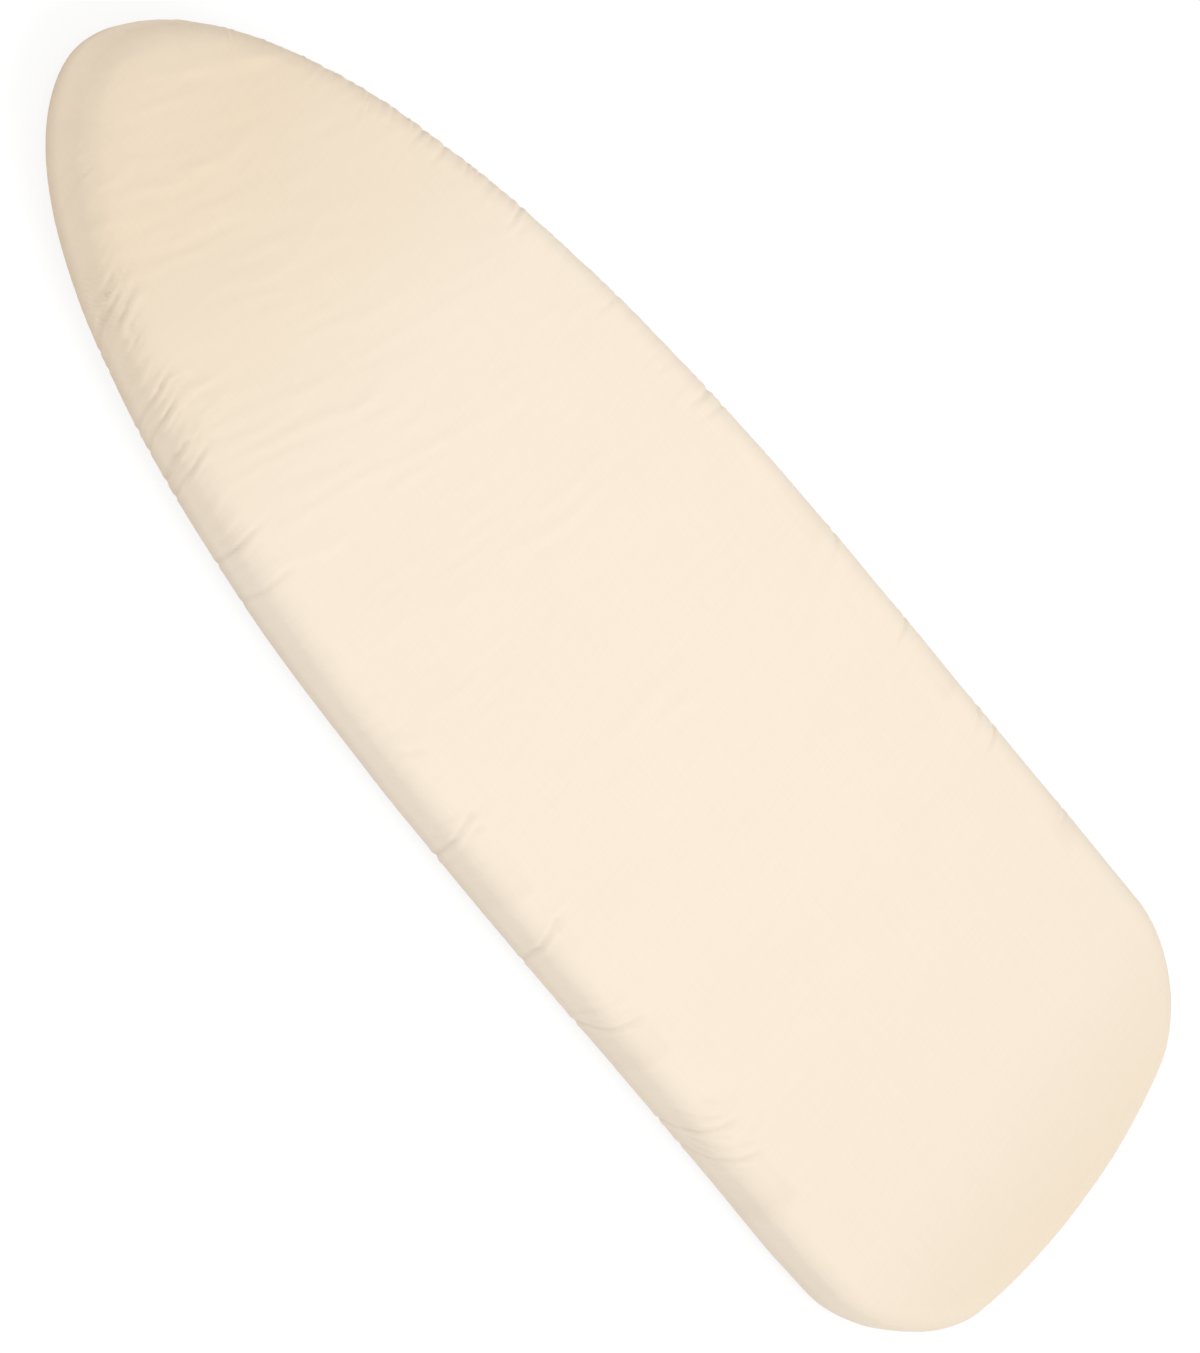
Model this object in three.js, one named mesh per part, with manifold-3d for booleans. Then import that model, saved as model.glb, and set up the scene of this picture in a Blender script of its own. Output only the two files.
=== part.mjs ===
// Sleeve ironing board: a padded, cloth-covered pressed-steel top that stands on two folding tube legs.
// Millimetres. +X runs from the square tail to the round nose, +Z is up, and the legs are folded flat.
import * as THREE from "three";
import { mergeVertices } from "three/addons/utils/BufferGeometryUtils.js";
import ManifoldModule from "manifold-3d";

const wasm = await ManifoldModule();
wasm.setup();

// General fits
const SEAT = 0.3; // gap left between two pieces that touch
const RUNNING = 0.1; // radial clearance of a pin in its hole
const OVERRUN = 2; // how far a cutting body passes the face it cuts
const SIDES = { outline: 120, tube: 16, pin: 20, hole: 10, foot: 16, rivet: 10 };

// Board outline
const LENGTH = 560;
const WIDTH = 190;
const TAIL_BOW = 22; // the tail edge bows out by this past its corners
const TAIL_CORNER = 36;
const NOSE_SHARE = 0.9; // the sides draw in over this share of the length ahead of the tail corners
const NOSE_FULLNESS = 3.79;
const NOSE_ROUNDNESS = 1.88;
const CLOTH_EVERY = 2; // cloth and pad take every second point of the outline
const RUN_PER_RADIAN = 323; // straight run that gets as many points as one radian of curve

// Cover and pad
const CLOTH = 0.8;
const PAD_THICK = 9;
const CROWN_RISE = 1.3; // the middle of the board stands this much above the rounded edge
const EDGE_ROUND = 8;
const TURN_UNDER = 1.4;
const CROWN_SHARES = [0.42, 0.76]; // the crown's two inner outlines, as shares of the whole
const CROWN_FALL = [0.1, 0.42]; // how far the crown has fallen there, as shares of its rise
const HEM_FOLD_INSET = 17.2;
const HEM_END_INSET = 10.2;
const FOLD_HEIGHT = 0.9;
const FOLD_PITCH = 46;
const FOLD_SLANT = 0.35;
const GATHER = 0.8;

// Elastic in the hem
const ELASTIC_INSET = 11;
const ELASTIC_WIDE = 5.5;
const ELASTIC_THICK = 1.2;

// Pressed steel top
const PANEL_INSET = 1.4;
const SHEET = 1.2;
const RIM_DEPTH = 13.6;
const RIM_GAP = 0.4; // between the rim's lower edge and the cloth turned under it
const PRESS_ROUND = 4;
const RETURN_FLANGE = 7;
const VENT_R = 5;
const VENT_PITCH = [36, 32];
const VENT_MARGIN = 21;
const VENT_CLEAR = 3;

// Hat-section rails beneath the top
const RAIL_CROWN = 12;
const RAIL_FOOT = 5;
const RAIL_DEPTH = 5;
const RAIL_SHEET = 1;
const RAIL_FLARE = 1.5;
const RAIL_GAP = 3; // between a rail and the bracket, clip or rail beside it
const RAIL_RIM_GAP = 14; // between a cross rail's end and the board's edge
const NOSE_GAP = 32; // between the nose stiffener and the nose tip

// Legs
const TUBE_R = 6;
const TUBE_WALL = 1;
const TUBE_END = 0.7; // the rounded tube end reaches this much further from the hinge than its side
const TUBE_ROOM = 3; // between the folded legs and the top
const BEND_R = 18;
const TAIL_SETBACK = 60; // tail edge to rear hinge
const OVERHANG_SHARE = 0.32; // share of the length that reaches past the front hinge
const LEG_SETBACK_SHARE = 0.184; // edge of the board to the middle of a leg tube, as a share of its width
const BARS_APART = 25; // between the two foot bars when both legs are folded
const BRACE_R = 3;
const BRACE_SHARE = 0.5; // place of the brace, as a share of the leg
const BEND_STEPS = 6;

// Rubber feet
const FOOT_WALL = 1.7;
const FOOT_GROOVE = 0.9;
const FOOT_SHARE = 0.72; // share of the front bar's free straight run that one foot covers
const FOOT_BEND_GAP = 1; // between a foot and the bend beside it
const FOOT_CHAMFER = 1.2;
const GROOVE_SHARES = [-0.24, 0, 0.24]; // places of the grooves, as shares of the foot's length
const GROOVE_HALF = 0.9;

// Hinge brackets and pins
const CHEEK = 1.5;
const CHEEK_GAP = TUBE_R + SEAT; // half the space between the cheeks
const OPEN_PAST = 12 * (Math.PI / 180); // the open leg leans this far past upright
const CHEEK_FRONT = 12;
const CHEEK_CORNER = 8;
const CHEEK_STEPS = 6;
const EAR = 12;
const EAR_X = [-7, 9];
const PIN_R = 3;
const PIN_HEAD_R = 4.4;
const PIN_HEAD = 1.6;
const HEAD_ROUND = 0.5;

// Rivets and the clip that holds the folded legs
const RIVET_R = 2;
const RIVET_HEAD_R = 3.6;
const RIVET_HEAD = 1;
const RIVET_EAR = 6.5; // from the cheek to the rivet
const CLIP_WIDE = 14;
const CLIP_ARM = 1.6;
const CLIP_END = 4;
const CLIP_GRIP = 3.4; // how far the clip's arms reach past the middle of a folded bar
const CLIP_LEAD = [0.8, 2]; // slant on each arm's tip, across and along it

// Places that follow from the sizes above. Heights are above the table, with the legs folded
const FOOT_R = TUBE_R + SEAT + FOOT_WALL;
const LEG_AXIS_Z = FOOT_R;
const TUBE_END_R = TUBE_R + TUBE_END;
const PANEL_UNDER_Z = LEG_AXIS_Z + TUBE_R + TUBE_ROOM;
const PANEL_TOP_Z = PANEL_UNDER_Z + SHEET;
const ROOF_Z = PANEL_UNDER_Z - SEAT; // top face of what is fixed beneath the panel
const RIM_Z = PANEL_TOP_Z - RIM_DEPTH;
const CLOTH_UNDER_Z = RIM_Z - RIM_GAP - CLOTH;
const CLOTH_TOP_Z = PANEL_TOP_Z + SEAT + PAD_THICK + SEAT + CLOTH;
const EDGE_TOP_Z = CLOTH_TOP_Z - CROWN_RISE;
const ELASTIC_Z = CLOTH_UNDER_Z + CLOTH + SEAT;
const HEM_TOP_Z = ELASTIC_Z + ELASTIC_THICK + SEAT + CLOTH;

// From the hinge to the inner face of the stop that the open leg meets at its lower edge
const STOP_X = (LEG_AXIS_Z + TUBE_R * Math.sin(OPEN_PAST)) * Math.tan(OPEN_PAST)
  + TUBE_R * Math.cos(OPEN_PAST) + SEAT;
const NOSE_LENGTH = NOSE_SHARE * (LENGTH - TAIL_BOW);

function halfWidthAt(x) {
  const u = Math.min((LENGTH / 2 - x) / NOSE_LENGTH, 1);
  return (WIDTH / 2) * (1 - (1 - u) ** NOSE_FULLNESS) ** (1 / NOSE_ROUNDNESS);
}

const REAR_HINGE_X = TAIL_SETBACK - LENGTH / 2;
const FRONT_HINGE_X = LENGTH / 2 - OVERHANG_SHARE * LENGTH;
const LEG_LONG = (FRONT_HINGE_X - REAR_HINGE_X - BARS_APART) / 2;

function legAt(name, x, way) {
  const y = halfWidthAt(x) - LEG_SETBACK_SHARE * WIDTH;
  return { name, x, way, y, bar: x + way * LEG_LONG, straight: y - BEND_R - FOOT_BEND_GAP };
}

const LEGS = [legAt("rear", REAR_HINGE_X, 1), legAt("front", FRONT_HINGE_X, -1)];
const FOOT_LONG = FOOT_SHARE * (LEGS[1].straight - CLIP_WIDE / 2);
const RAIL_HALF = RAIL_CROWN / 2 + RAIL_FLARE + RAIL_FOOT;
const CLIP_REACH = TUBE_R + SEAT + CLIP_ARM + CLIP_END;

// From one place to another along the board
function stiffener(name, from, to) {
  return { name, x: (from + to) / 2, y: 0, long: to - from, along: "x" };
}

function crossRail(name, leg) {
  const x = leg.x - leg.way * (STOP_X + CHEEK + RAIL_GAP + RAIL_HALF);
  const inner = leg.way > 0 ? WIDTH / 2 - TAIL_CORNER : halfWidthAt(x + RAIL_HALF) - RAIL_RIM_GAP;
  return { name, x, y: 0, long: 2 * inner, along: "y" };
}

const REAR_RAIL = crossRail("rear_cross_rail", LEGS[0]);
const FRONT_RAIL = crossRail("front_cross_rail", LEGS[1]);
const RAILS = [
  REAR_RAIL,
  FRONT_RAIL,
  stiffener("nose_stiffener", FRONT_RAIL.x + RAIL_HALF + RAIL_GAP, LENGTH / 2 - NOSE_GAP),
  stiffener("tail_stiffener", REAR_RAIL.x + RAIL_HALF + RAIL_GAP, LEGS[0].bar - CLIP_REACH - RAIL_GAP),
];

// One material for each kind of surface
const FINISH = {
  cloth: [0xf3e6d2, 0.95, 0],
  felt: [0xd9d4c8, 0.98, 0],
  elastic: [0xf4f1ea, 0.9, 0],
  panel: [0xb9bdc0, 0.42, 0.9],
  rail: [0xaeb3b6, 0.45, 0.9],
  bracket: [0xc2c5c7, 0.38, 0.95],
  pin: [0xc9cccf, 0.3, 1],
  leg: [0xe9e9e6, 0.4, 0.1],
  rubber: [0x4a4a4a, 0.85, 0],
  clip: [0xdedbd2, 0.6, 0],
};

function material(kind) {
  const [color, roughness, metalness] = FINISH[kind];
  return new THREE.MeshStandardMaterial({ color, roughness, metalness, name: kind });
}

// Solid modelling with closed bodies
function toSolid(geometry) {
  const g = geometry.clone();
  g.deleteAttribute("normal");
  g.deleteAttribute("uv");
  const m = mergeVertices(g, 1e-5);
  return new wasm.Manifold(new wasm.Mesh({
    numProp: 3,
    vertProperties: new Float32Array(m.attributes.position.array),
    triVerts: new Uint32Array(m.index.array),
  }));
}

function toGeometry(solid) {
  const mesh = solid.getMesh();
  const g = new THREE.BufferGeometry();
  g.setAttribute("position", new THREE.BufferAttribute(new Float32Array(mesh.vertProperties), 3));
  g.setIndex(new THREE.BufferAttribute(new Uint32Array(mesh.triVerts), 1));
  return g;
}

const join = (list) => list.map(toSolid).reduce((a, b) => a.add(b));
const cut = (body, list) => list.reduce((a, g) => a.subtract(toSolid(g)), body);

function signedVolume(points, faces) {
  let v = 0;
  for (const [a, b, c] of faces) v += points[a].dot(points[b].clone().cross(points[c]));
  return v;
}

// Flat strips that close a ring which starts at the nose tip and is the same on both sides
function strips(n) {
  const faces = [[0, 1, n - 1]];
  for (let i = 1; i + 1 < n - i; i += 1) {
    faces.push([i, i + 1, n - i]);
    if (i + 1 < n - i - 1) faces.push([i + 1, n - i - 1, n - i]);
  }
  return faces;
}

// A closed body through rings of equal count, with a cap on its first and last ring
function loft(rings) {
  const n = rings[0].length;
  const points = rings.flat();
  const faces = [];
  for (let r = 0; r + 1 < rings.length; r += 1) {
    for (let i = 0; i < n; i += 1) {
      const j = (i + 1) % n;
      const [a, b, c, d] = [r * n + i, r * n + j, (r + 1) * n + j, (r + 1) * n + i];
      faces.push([a, b, c], [a, c, d]);
    }
  }
  const last = (rings.length - 1) * n;
  for (const [a, b, c] of strips(n)) {
    faces.push([a, c, b], [last + a, last + b, last + c]);
  }
  const out = signedVolume(points, faces) < 0 ? faces.map(([a, b, c]) => [a, c, b]) : faces;
  const g = new THREE.BufferGeometry();
  g.setAttribute("position", new THREE.Float32BufferAttribute(points.flatMap((p) => [p.x, p.y, p.z]), 3));
  g.setIndex(out.flat());
  return g;
}

function box(x, y, z) {
  const g = new THREE.BoxGeometry(x[1] - x[0], y[1] - y[0], z[1] - z[0]);
  return g.translate((x[0] + x[1]) / 2, (y[0] + y[1]) / 2, (z[0] + z[1]) / 2);
}

// A cylinder along Y
function rod(radius, x, y, z, sides) {
  const g = new THREE.CylinderGeometry(radius, radius, y[1] - y[0], sides);
  return g.translate(x, (y[0] + y[1]) / 2, z);
}

// A plate whose outline lies in X and Z, and whose thickness runs along Y
function plateXZ(points, y) {
  const shape = new THREE.Shape(points.map(([a, b]) => new THREE.Vector2(a, b)));
  const g = new THREE.ExtrudeGeometry(shape, { depth: y[1] - y[0], bevelEnabled: false });
  return g.rotateX(Math.PI / 2).translate(0, y[1], 0);
}

// The board's outline, from the nose tip round the +Y side, the tail and the -Y side
function halfOutline() {
  const long = LENGTH - TAIL_BOW;
  const half = WIDTH / 2;
  const fine = 260;
  const bow = (y) => TAIL_BOW * (1 - (Math.min(y, half) / half) ** 2);
  const nose = Array.from({ length: fine + 1 }, (_, i) => {
    const u = 1 - Math.cos((i / fine) * (Math.PI / 2));
    const x = long - NOSE_LENGTH * u;
    return [x, halfWidthAt(x + TAIL_BOW - LENGTH / 2)];
  });
  const corner = Array.from({ length: fine + 1 }, (_, i) => {
    const a = (i / fine) * (Math.PI / 2);
    const y = half - TAIL_CORNER + TAIL_CORNER * Math.cos(a);
    return [TAIL_CORNER - TAIL_CORNER * Math.sin(a) - bow(y), y];
  });
  const tail = Array.from({ length: fine }, (_, i) => {
    const y = (half - TAIL_CORNER) * (1 - (i + 1) / fine);
    return [-bow(y), y];
  });
  return [...nose, ...corner, ...tail].map(([x, y]) => new THREE.Vector2(x - LENGTH / 2 + TAIL_BOW, y));
}

function evenByLengthAndTurn(points, count) {
  const weight = [0];
  for (let i = 1; i < points.length; i += 1) {
    const step = points[i].clone().sub(points[i - 1]);
    const next = points[Math.min(i + 1, points.length - 1)].clone().sub(points[i]);
    const turn = next.length() > 0 && step.length() > 0 ? Math.abs(step.angleTo(next)) : 0;
    weight.push(weight[i - 1] + step.length() / RUN_PER_RADIAN + turn);
  }
  const total = weight[weight.length - 1];
  return Array.from({ length: count + 1 }, (_, k) => {
    const target = (total * k) / count;
    let i = weight.findIndex((w) => w >= target - 1e-9);
    i = Math.max(1, i);
    const f = (target - weight[i - 1]) / Math.max(weight[i] - weight[i - 1], 1e-12);
    return points[i - 1].clone().lerp(points[i], Math.min(Math.max(f, 0), 1));
  });
}

function outlineWithNormals() {
  const half = evenByLengthAndTurn(halfOutline(), SIDES.outline / 2);
  half[0].y = 0;
  half[half.length - 1].y = 0;
  const other = half.slice(1, -1).reverse().map((p) => new THREE.Vector2(p.x, -p.y));
  const ring = [...half, ...other];
  const n = ring.length;
  return ring.map((p, i) => {
    const before = p.clone().sub(ring[(i + n - 1) % n]).normalize();
    const after = ring[(i + 1) % n].clone().sub(p).normalize();
    const way = before.add(after).normalize();
    return { p, out: new THREE.Vector2(way.y, -way.x) };
  });
}

const OUTLINE = outlineWithNormals();
const CLOTH_OUTLINE = OUTLINE.filter((_, i) => i % CLOTH_EVERY === 0);

const inset = (outline, by, z) => outline.map(({ p, out }) => (
  new THREE.Vector3(p.x - out.x * by, p.y - out.y * by, z)));

const shrunk = (outline, by, share, z) => inset(outline, by, z).map((p) => (
  new THREE.Vector3(p.x * share, p.y * share, z)));

// Long shallow tension folds that cross the board
function fold(p, fade) {
  const phase = (p.x - FOLD_SLANT * p.y) / FOLD_PITCH;
  const wave = Math.max(0, Math.sin(2 * Math.PI * phase)) ** 2;
  return p.clone().setZ(p.z + FOLD_HEIGHT * fade * wave);
}

// The rings from the crown down to the foot of the rounded edge, this far inside the cloth's outer face
function crownRings(depth, folded) {
  const crown = CLOTH_TOP_Z - EDGE_TOP_Z;
  const rings = CROWN_SHARES.map((share, i) => (
    shrunk(CLOTH_OUTLINE, EDGE_ROUND, share, CLOTH_TOP_Z - crown * CROWN_FALL[i] - depth)));
  const round = EDGE_ROUND - depth;
  const arc = [0, 0.5, 1].map((s) => {
    const a = (s * Math.PI) / 2;
    const by = EDGE_ROUND - round * Math.sin(a);
    return inset(CLOTH_OUTLINE, by, EDGE_TOP_Z - EDGE_ROUND + round * Math.cos(a));
  });
  const fades = [0, 1, 0.5];
  return [...rings, ...arc].map((ring, i) => ring.map((p) => fold(p, folded ? fades[i] || 0 : 0)));
}

// The hem is gathered: every other point of its fold is drawn further in
const gathered = (ring, by) => ring.map((p, i) => (
  i % 2 ? p : p.clone().setX(p.x - CLOTH_OUTLINE[i].out.x * by).setY(p.y - CLOTH_OUTLINE[i].out.y * by)));

function cover() {
  const at = (by, z) => inset(CLOTH_OUTLINE, by, z);
  const mid = (CLOTH_UNDER_Z + HEM_TOP_Z) / 2;
  const outer = (HEM_TOP_Z - CLOTH_UNDER_Z) / 2;
  const inner = outer - CLOTH;
  const chamfer = TURN_UNDER * (1 - Math.SQRT1_2);
  const outside = [
    ...crownRings(0, true),
    at(0, CLOTH_UNDER_Z + TURN_UNDER),
    at(chamfer, CLOTH_UNDER_Z + chamfer),
    at(TURN_UNDER, CLOTH_UNDER_Z),
    at(HEM_FOLD_INSET, CLOTH_UNDER_Z),
    gathered(at(HEM_FOLD_INSET + outer, mid), GATHER),
    at(HEM_FOLD_INSET, HEM_TOP_Z),
    at(HEM_END_INSET, HEM_TOP_Z),
  ];
  const inside = [
    at(HEM_END_INSET, HEM_TOP_Z - CLOTH),
    at(HEM_FOLD_INSET, HEM_TOP_Z - CLOTH),
    gathered(at(HEM_FOLD_INSET + inner, mid), GATHER),
    at(HEM_FOLD_INSET, CLOTH_UNDER_Z + CLOTH),
    at(TURN_UNDER, CLOTH_UNDER_Z + CLOTH),
    at(CLOTH, CLOTH_UNDER_Z + TURN_UNDER),
    ...crownRings(CLOTH, true).reverse(),
  ];
  return loft([...outside, ...inside]);
}

function pad() {
  const top = crownRings(CLOTH + SEAT, false);
  return loft([...top, inset(CLOTH_OUTLINE, CLOTH + SEAT, PANEL_TOP_Z + SEAT)]);
}

function hemElastic() {
  const [low, high] = [ELASTIC_Z, ELASTIC_Z + ELASTIC_THICK];
  const at = (by, z) => inset(CLOTH_OUTLINE, by, z);
  const whole = toSolid(loft([at(ELASTIC_INSET, low), at(ELASTIC_INSET, high)]));
  const far = ELASTIC_INSET + ELASTIC_WIDE;
  const hole = loft([at(far, low - OVERRUN), at(far, high + OVERRUN)]);
  return toGeometry(cut(whole, [hole]));
}

// Pressed top: rolled edge, turned-down rim, return flange and vent holes
const RIVETS = LEGS.flatMap((leg) => [-1, 1].flatMap((side) => [-1, 1].map((ear) => ({
  name: `${leg.name}_${side > 0 ? "left" : "right"}_rivet_${ear * side > 0 ? "outer" : "inner"}`,
  x: leg.x + leg.way * (EAR_X[0] + EAR_X[1]) / 2,
  y: side * leg.y + ear * (CHEEK_GAP + CHEEK + RIVET_EAR),
}))));
const CLIP_X = LEGS.map((leg) => leg.bar);
RIVETS.push({ name: "clip_rivet", x: (CLIP_X[0] + CLIP_X[1]) / 2, y: 0 });

function insideOutline(x, y, margin) {
  const ring = inset(OUTLINE, margin, 0);
  let inside = false;
  ring.forEach((a, i) => {
    const b = ring[(i + 1) % ring.length];
    if ((a.y > y) !== (b.y > y) && x < ((b.x - a.x) * (y - a.y)) / (b.y - a.y) + a.x) inside = !inside;
  });
  return inside;
}

function ventPlaces() {
  const clear = VENT_R + VENT_CLEAR;
  const keep = [
    ...RAILS.map((r) => {
      const half = r.along === "x" ? [r.long / 2, RAIL_HALF] : [RAIL_HALF, r.long / 2];
      return [r.x, r.y, half[0] + clear, half[1] + clear];
    }),
    ...LEGS.flatMap((leg) => [-1, 1].map((side) => (
      [leg.x, side * leg.y, CHEEK_FRONT + clear, CHEEK_GAP + CHEEK + EAR + clear]))),
    [(CLIP_X[0] + CLIP_X[1]) / 2, 0, BARS_APART / 2 + CLIP_REACH + clear, CLIP_WIDE / 2 + clear],
  ];
  const places = [];
  const [px, py] = VENT_PITCH;
  const rows = Math.floor(WIDTH / 2 / (py / 2));
  const steps = Math.ceil(LENGTH / 2 / px);
  for (let r = -rows; r <= rows; r += 1) {
    for (let s = -steps; s <= steps; s += 1) {
      const [x, y] = [(s + (r % 2 ? 1 / 2 : 0)) * px, (r * py) / 2];
      const taken = keep.some(([a, b, h, k]) => Math.abs(x - a) < h && Math.abs(y - b) < k);
      if (!taken && insideOutline(x, y, VENT_MARGIN)) places.push([x, y]);
    }
  }
  return places;
}

const upright = (radius, x, y, z, sides) => (
  new THREE.CylinderGeometry(radius, radius, z[1] - z[0], sides)
    .rotateX(Math.PI / 2).translate(x, y, (z[0] + z[1]) / 2));

function topPanel() {
  const at = (by, z) => inset(OUTLINE, PANEL_INSET + by, z);
  const press = (round, by) => [0, 0.5, 1].map((s) => {
    const a = (s * Math.PI) / 2;
    return at(by + round * (1 - Math.cos(a)), PANEL_TOP_Z - by - round * (1 - Math.sin(a)));
  });
  const outside = loft([at(0, RIM_Z), ...press(PRESS_ROUND, 0)]);
  const inside = loft([
    at(RETURN_FLANGE, RIM_Z - OVERRUN),
    at(RETURN_FLANGE, RIM_Z + SHEET),
    at(SHEET, RIM_Z + SHEET),
    ...press(PRESS_ROUND - SHEET, SHEET),
  ]);
  const through = [PANEL_UNDER_Z - OVERRUN, PANEL_TOP_Z + OVERRUN];
  const vents = ventPlaces().map(([x, y]) => upright(VENT_R, x, y, through, SIDES.hole));
  const holes = RIVETS.map((r) => upright(RIVET_R + SEAT, r.x, r.y, through, SIDES.rivet));
  return toGeometry(cut(toSolid(outside), [inside, ...vents, ...holes]));
}

// Hat section: two feet against the top and a crown hanging below them
function rail({ x, y, long, along }) {
  const crown = RAIL_CROWN / 2;
  const web = crown + RAIL_FLARE;
  const foot = web + RAIL_FOOT;
  const half = [
    [foot, 0], [foot, -RAIL_SHEET], [web + RAIL_SHEET, -RAIL_SHEET],
    [crown + RAIL_SHEET, -RAIL_DEPTH], [crown, -RAIL_DEPTH],
  ];
  const back = [
    [crown - RAIL_SHEET / 2, RAIL_SHEET - RAIL_DEPTH], [web, 0],
  ];
  const mirror = (list) => list.map(([a, b]) => [-a, b]).reverse();
  const ring = [...half, ...mirror(half), ...mirror(back), ...back];
  const shape = new THREE.Shape(ring.map(([a, b]) => new THREE.Vector2(a, b)));
  const g = new THREE.ExtrudeGeometry(shape, { depth: long, bevelEnabled: false });
  g.translate(0, 0, -long / 2).rotateX(Math.PI / 2);
  if (along === "x") g.rotateZ(Math.PI / 2);
  return g.translate(x, y, ROOF_Z);
}

// A path given by its stations, so that a straight run costs one step and a bend several
class Stations extends THREE.Curve {
  constructor(stations) {
    super();
    this.stations = stations;
  }

  station(u) {
    return this.stations[Math.round(u * (this.stations.length - 1))];
  }

  getPoint(u) {
    return this.station(u).point.clone();
  }

  getPointAt(u) {
    return this.getPoint(u);
  }

  getTangent(u) {
    return this.station(u).way.clone();
  }

  getTangentAt(u) {
    return this.getTangent(u);
  }
}

function legRun(leg) {
  const turn = leg.bar - leg.way * BEND_R;
  const stations = [];
  const add = (x, y, wx, wy) => stations.push({
    point: new THREE.Vector3(x, y, LEG_AXIS_Z), way: new THREE.Vector3(wx, wy, 0),
  });
  add(leg.x - leg.way * TUBE_END_R, leg.y, leg.way, 0);
  for (let i = 0; i <= BEND_STEPS; i += 1) {
    const a = (i / BEND_STEPS) * (Math.PI / 2);
    const [s, c] = [Math.sin(a), Math.cos(a)];
    add(turn + leg.way * BEND_R * s, leg.y - BEND_R * (1 - c), leg.way * c, -s);
  }
  const mirrored = [...stations].reverse().map(({ point, way }) => ({
    point: new THREE.Vector3(point.x, -point.y, point.z), way: new THREE.Vector3(-way.x, way.y, 0),
  }));
  return new Stations([...stations, ...mirrored]);
}

function legTube(leg) {
  const run = legRun(leg);
  const ring = new THREE.Shape().absarc(0, 0, TUBE_R, 0, 2 * Math.PI);
  ring.holes.push(new THREE.Path().absarc(0, 0, TUBE_R - TUBE_WALL, 0, 2 * Math.PI));
  const tube = new THREE.ExtrudeGeometry(ring, {
    steps: run.stations.length - 1, extrudePath: run, bevelEnabled: false, curveSegments: SIDES.tube / 2,
  });
  const wide = TUBE_R + OVERRUN;
  const tools = [-1, 1].flatMap((side) => {
    const y = [side * leg.y - wide, side * leg.y + wide];
    const beyond = [leg.x, leg.x - leg.way * (TUBE_END_R + OVERRUN)].sort((a, b) => a - b);
    const block = toSolid(box(beyond, y, [LEG_AXIS_Z - wide, LEG_AXIS_Z + wide]));
    const round = rod(TUBE_END_R, leg.x, [y[0] - OVERRUN, y[1] + OVERRUN], LEG_AXIS_Z, SIDES.pin);
    const hole = rod(PIN_R + RUNNING, leg.x, y, LEG_AXIS_Z, SIDES.pin);
    return [toGeometry(cut(block, [round])), hole];
  });
  return toGeometry(cut(toSolid(tube), tools));
}

function legBrace(leg) {
  const reach = leg.y - TUBE_R - SEAT;
  return rod(BRACE_R, leg.x + leg.way * BRACE_SHARE * LEG_LONG, [-reach, reach], LEG_AXIS_Z, SIDES.hole);
}

// Ribbed rubber sleeve round the foot bar
function foot(leg, side) {
  const half = FOOT_LONG / 2;
  const bore = TUBE_R + SEAT;
  const ribs = GROOVE_SHARES.map((share) => share * FOOT_LONG).flatMap((y) => [
    [FOOT_R, y - GROOVE_HALF], [FOOT_R - FOOT_GROOVE, y], [FOOT_R, y + GROOVE_HALF],
  ]);
  const profile = [
    [bore, -half], [FOOT_R - FOOT_CHAMFER, -half], [FOOT_R, FOOT_CHAMFER - half], ...ribs,
    [FOOT_R, half - FOOT_CHAMFER], [FOOT_R - FOOT_CHAMFER, half], [bore, half], [bore, -half],
  ].map(([r, y]) => new THREE.Vector2(r, y));
  const g = new THREE.LatheGeometry(profile, SIDES.foot);
  return g.translate(leg.bar, side * (leg.straight - half), LEG_AXIS_Z);
}

// Bracket: two cheeks, a roof with an ear each side, and an end wall that stops the open leg
function bracket(leg, side) {
  const back = -STOP_X - CHEEK;
  const corner = Array.from({ length: CHEEK_STEPS + 1 }, (_, i) => {
    const a = (i / CHEEK_STEPS) * (Math.PI / 2);
    const [cx, cz] = [CHEEK_FRONT - CHEEK_CORNER, CHEEK_CORNER];
    return [cx + CHEEK_CORNER * Math.sin(a), cz - CHEEK_CORNER * Math.cos(a)];
  });
  const cheekLine = [[back, 0], ...corner, [CHEEK_FRONT, ROOF_Z], [back, ROOF_Z]];
  const outer = CHEEK_GAP + CHEEK;
  const cheeks = [-1, 1].map((s) => plateXZ(cheekLine, [s * CHEEK_GAP, s * outer].sort((a, b) => a - b)));
  const roof = [ROOF_Z - CHEEK, ROOF_Z];
  const body = join([
    ...cheeks,
    box([back, CHEEK_FRONT], [-outer, outer], roof),
    box([back, -STOP_X], [-outer, outer], [0, ROOF_Z]),
    box(EAR_X, [-outer - EAR, outer + EAR], roof),
  ]);
  const middle = (EAR_X[0] + EAR_X[1]) / 2;
  const tall = [roof[0] - OVERRUN, roof[1] + OVERRUN];
  const holes = [-1, 1].map((s) => (
    upright(RIVET_R + SEAT, middle, s * (outer + RIVET_EAR), tall, SIDES.rivet)));
  const pinHole = rod(PIN_R + RUNNING, 0, [-outer - OVERRUN, outer + OVERRUN], LEG_AXIS_Z, SIDES.pin);
  const g = toGeometry(cut(body, [pinHole, ...holes]));
  if (leg.way < 0) g.rotateZ(Math.PI);
  return g.translate(leg.x, side * leg.y, 0);
}

function pivotPin(leg, side) {
  const inner = CHEEK_GAP + CHEEK + SEAT;
  const end = inner + PIN_HEAD;
  const half = [
    [PIN_R, inner], [PIN_HEAD_R, inner], [PIN_HEAD_R, end - HEAD_ROUND],
    [PIN_HEAD_R - HEAD_ROUND, end], [0, end],
  ];
  const mirrored = half.map(([r, y]) => [r, -y]).reverse();
  const profile = [...mirrored, ...half].map(([r, y]) => new THREE.Vector2(r, y));
  return new THREE.LatheGeometry(profile, SIDES.pin).translate(leg.x, side * leg.y, LEG_AXIS_Z);
}

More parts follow.
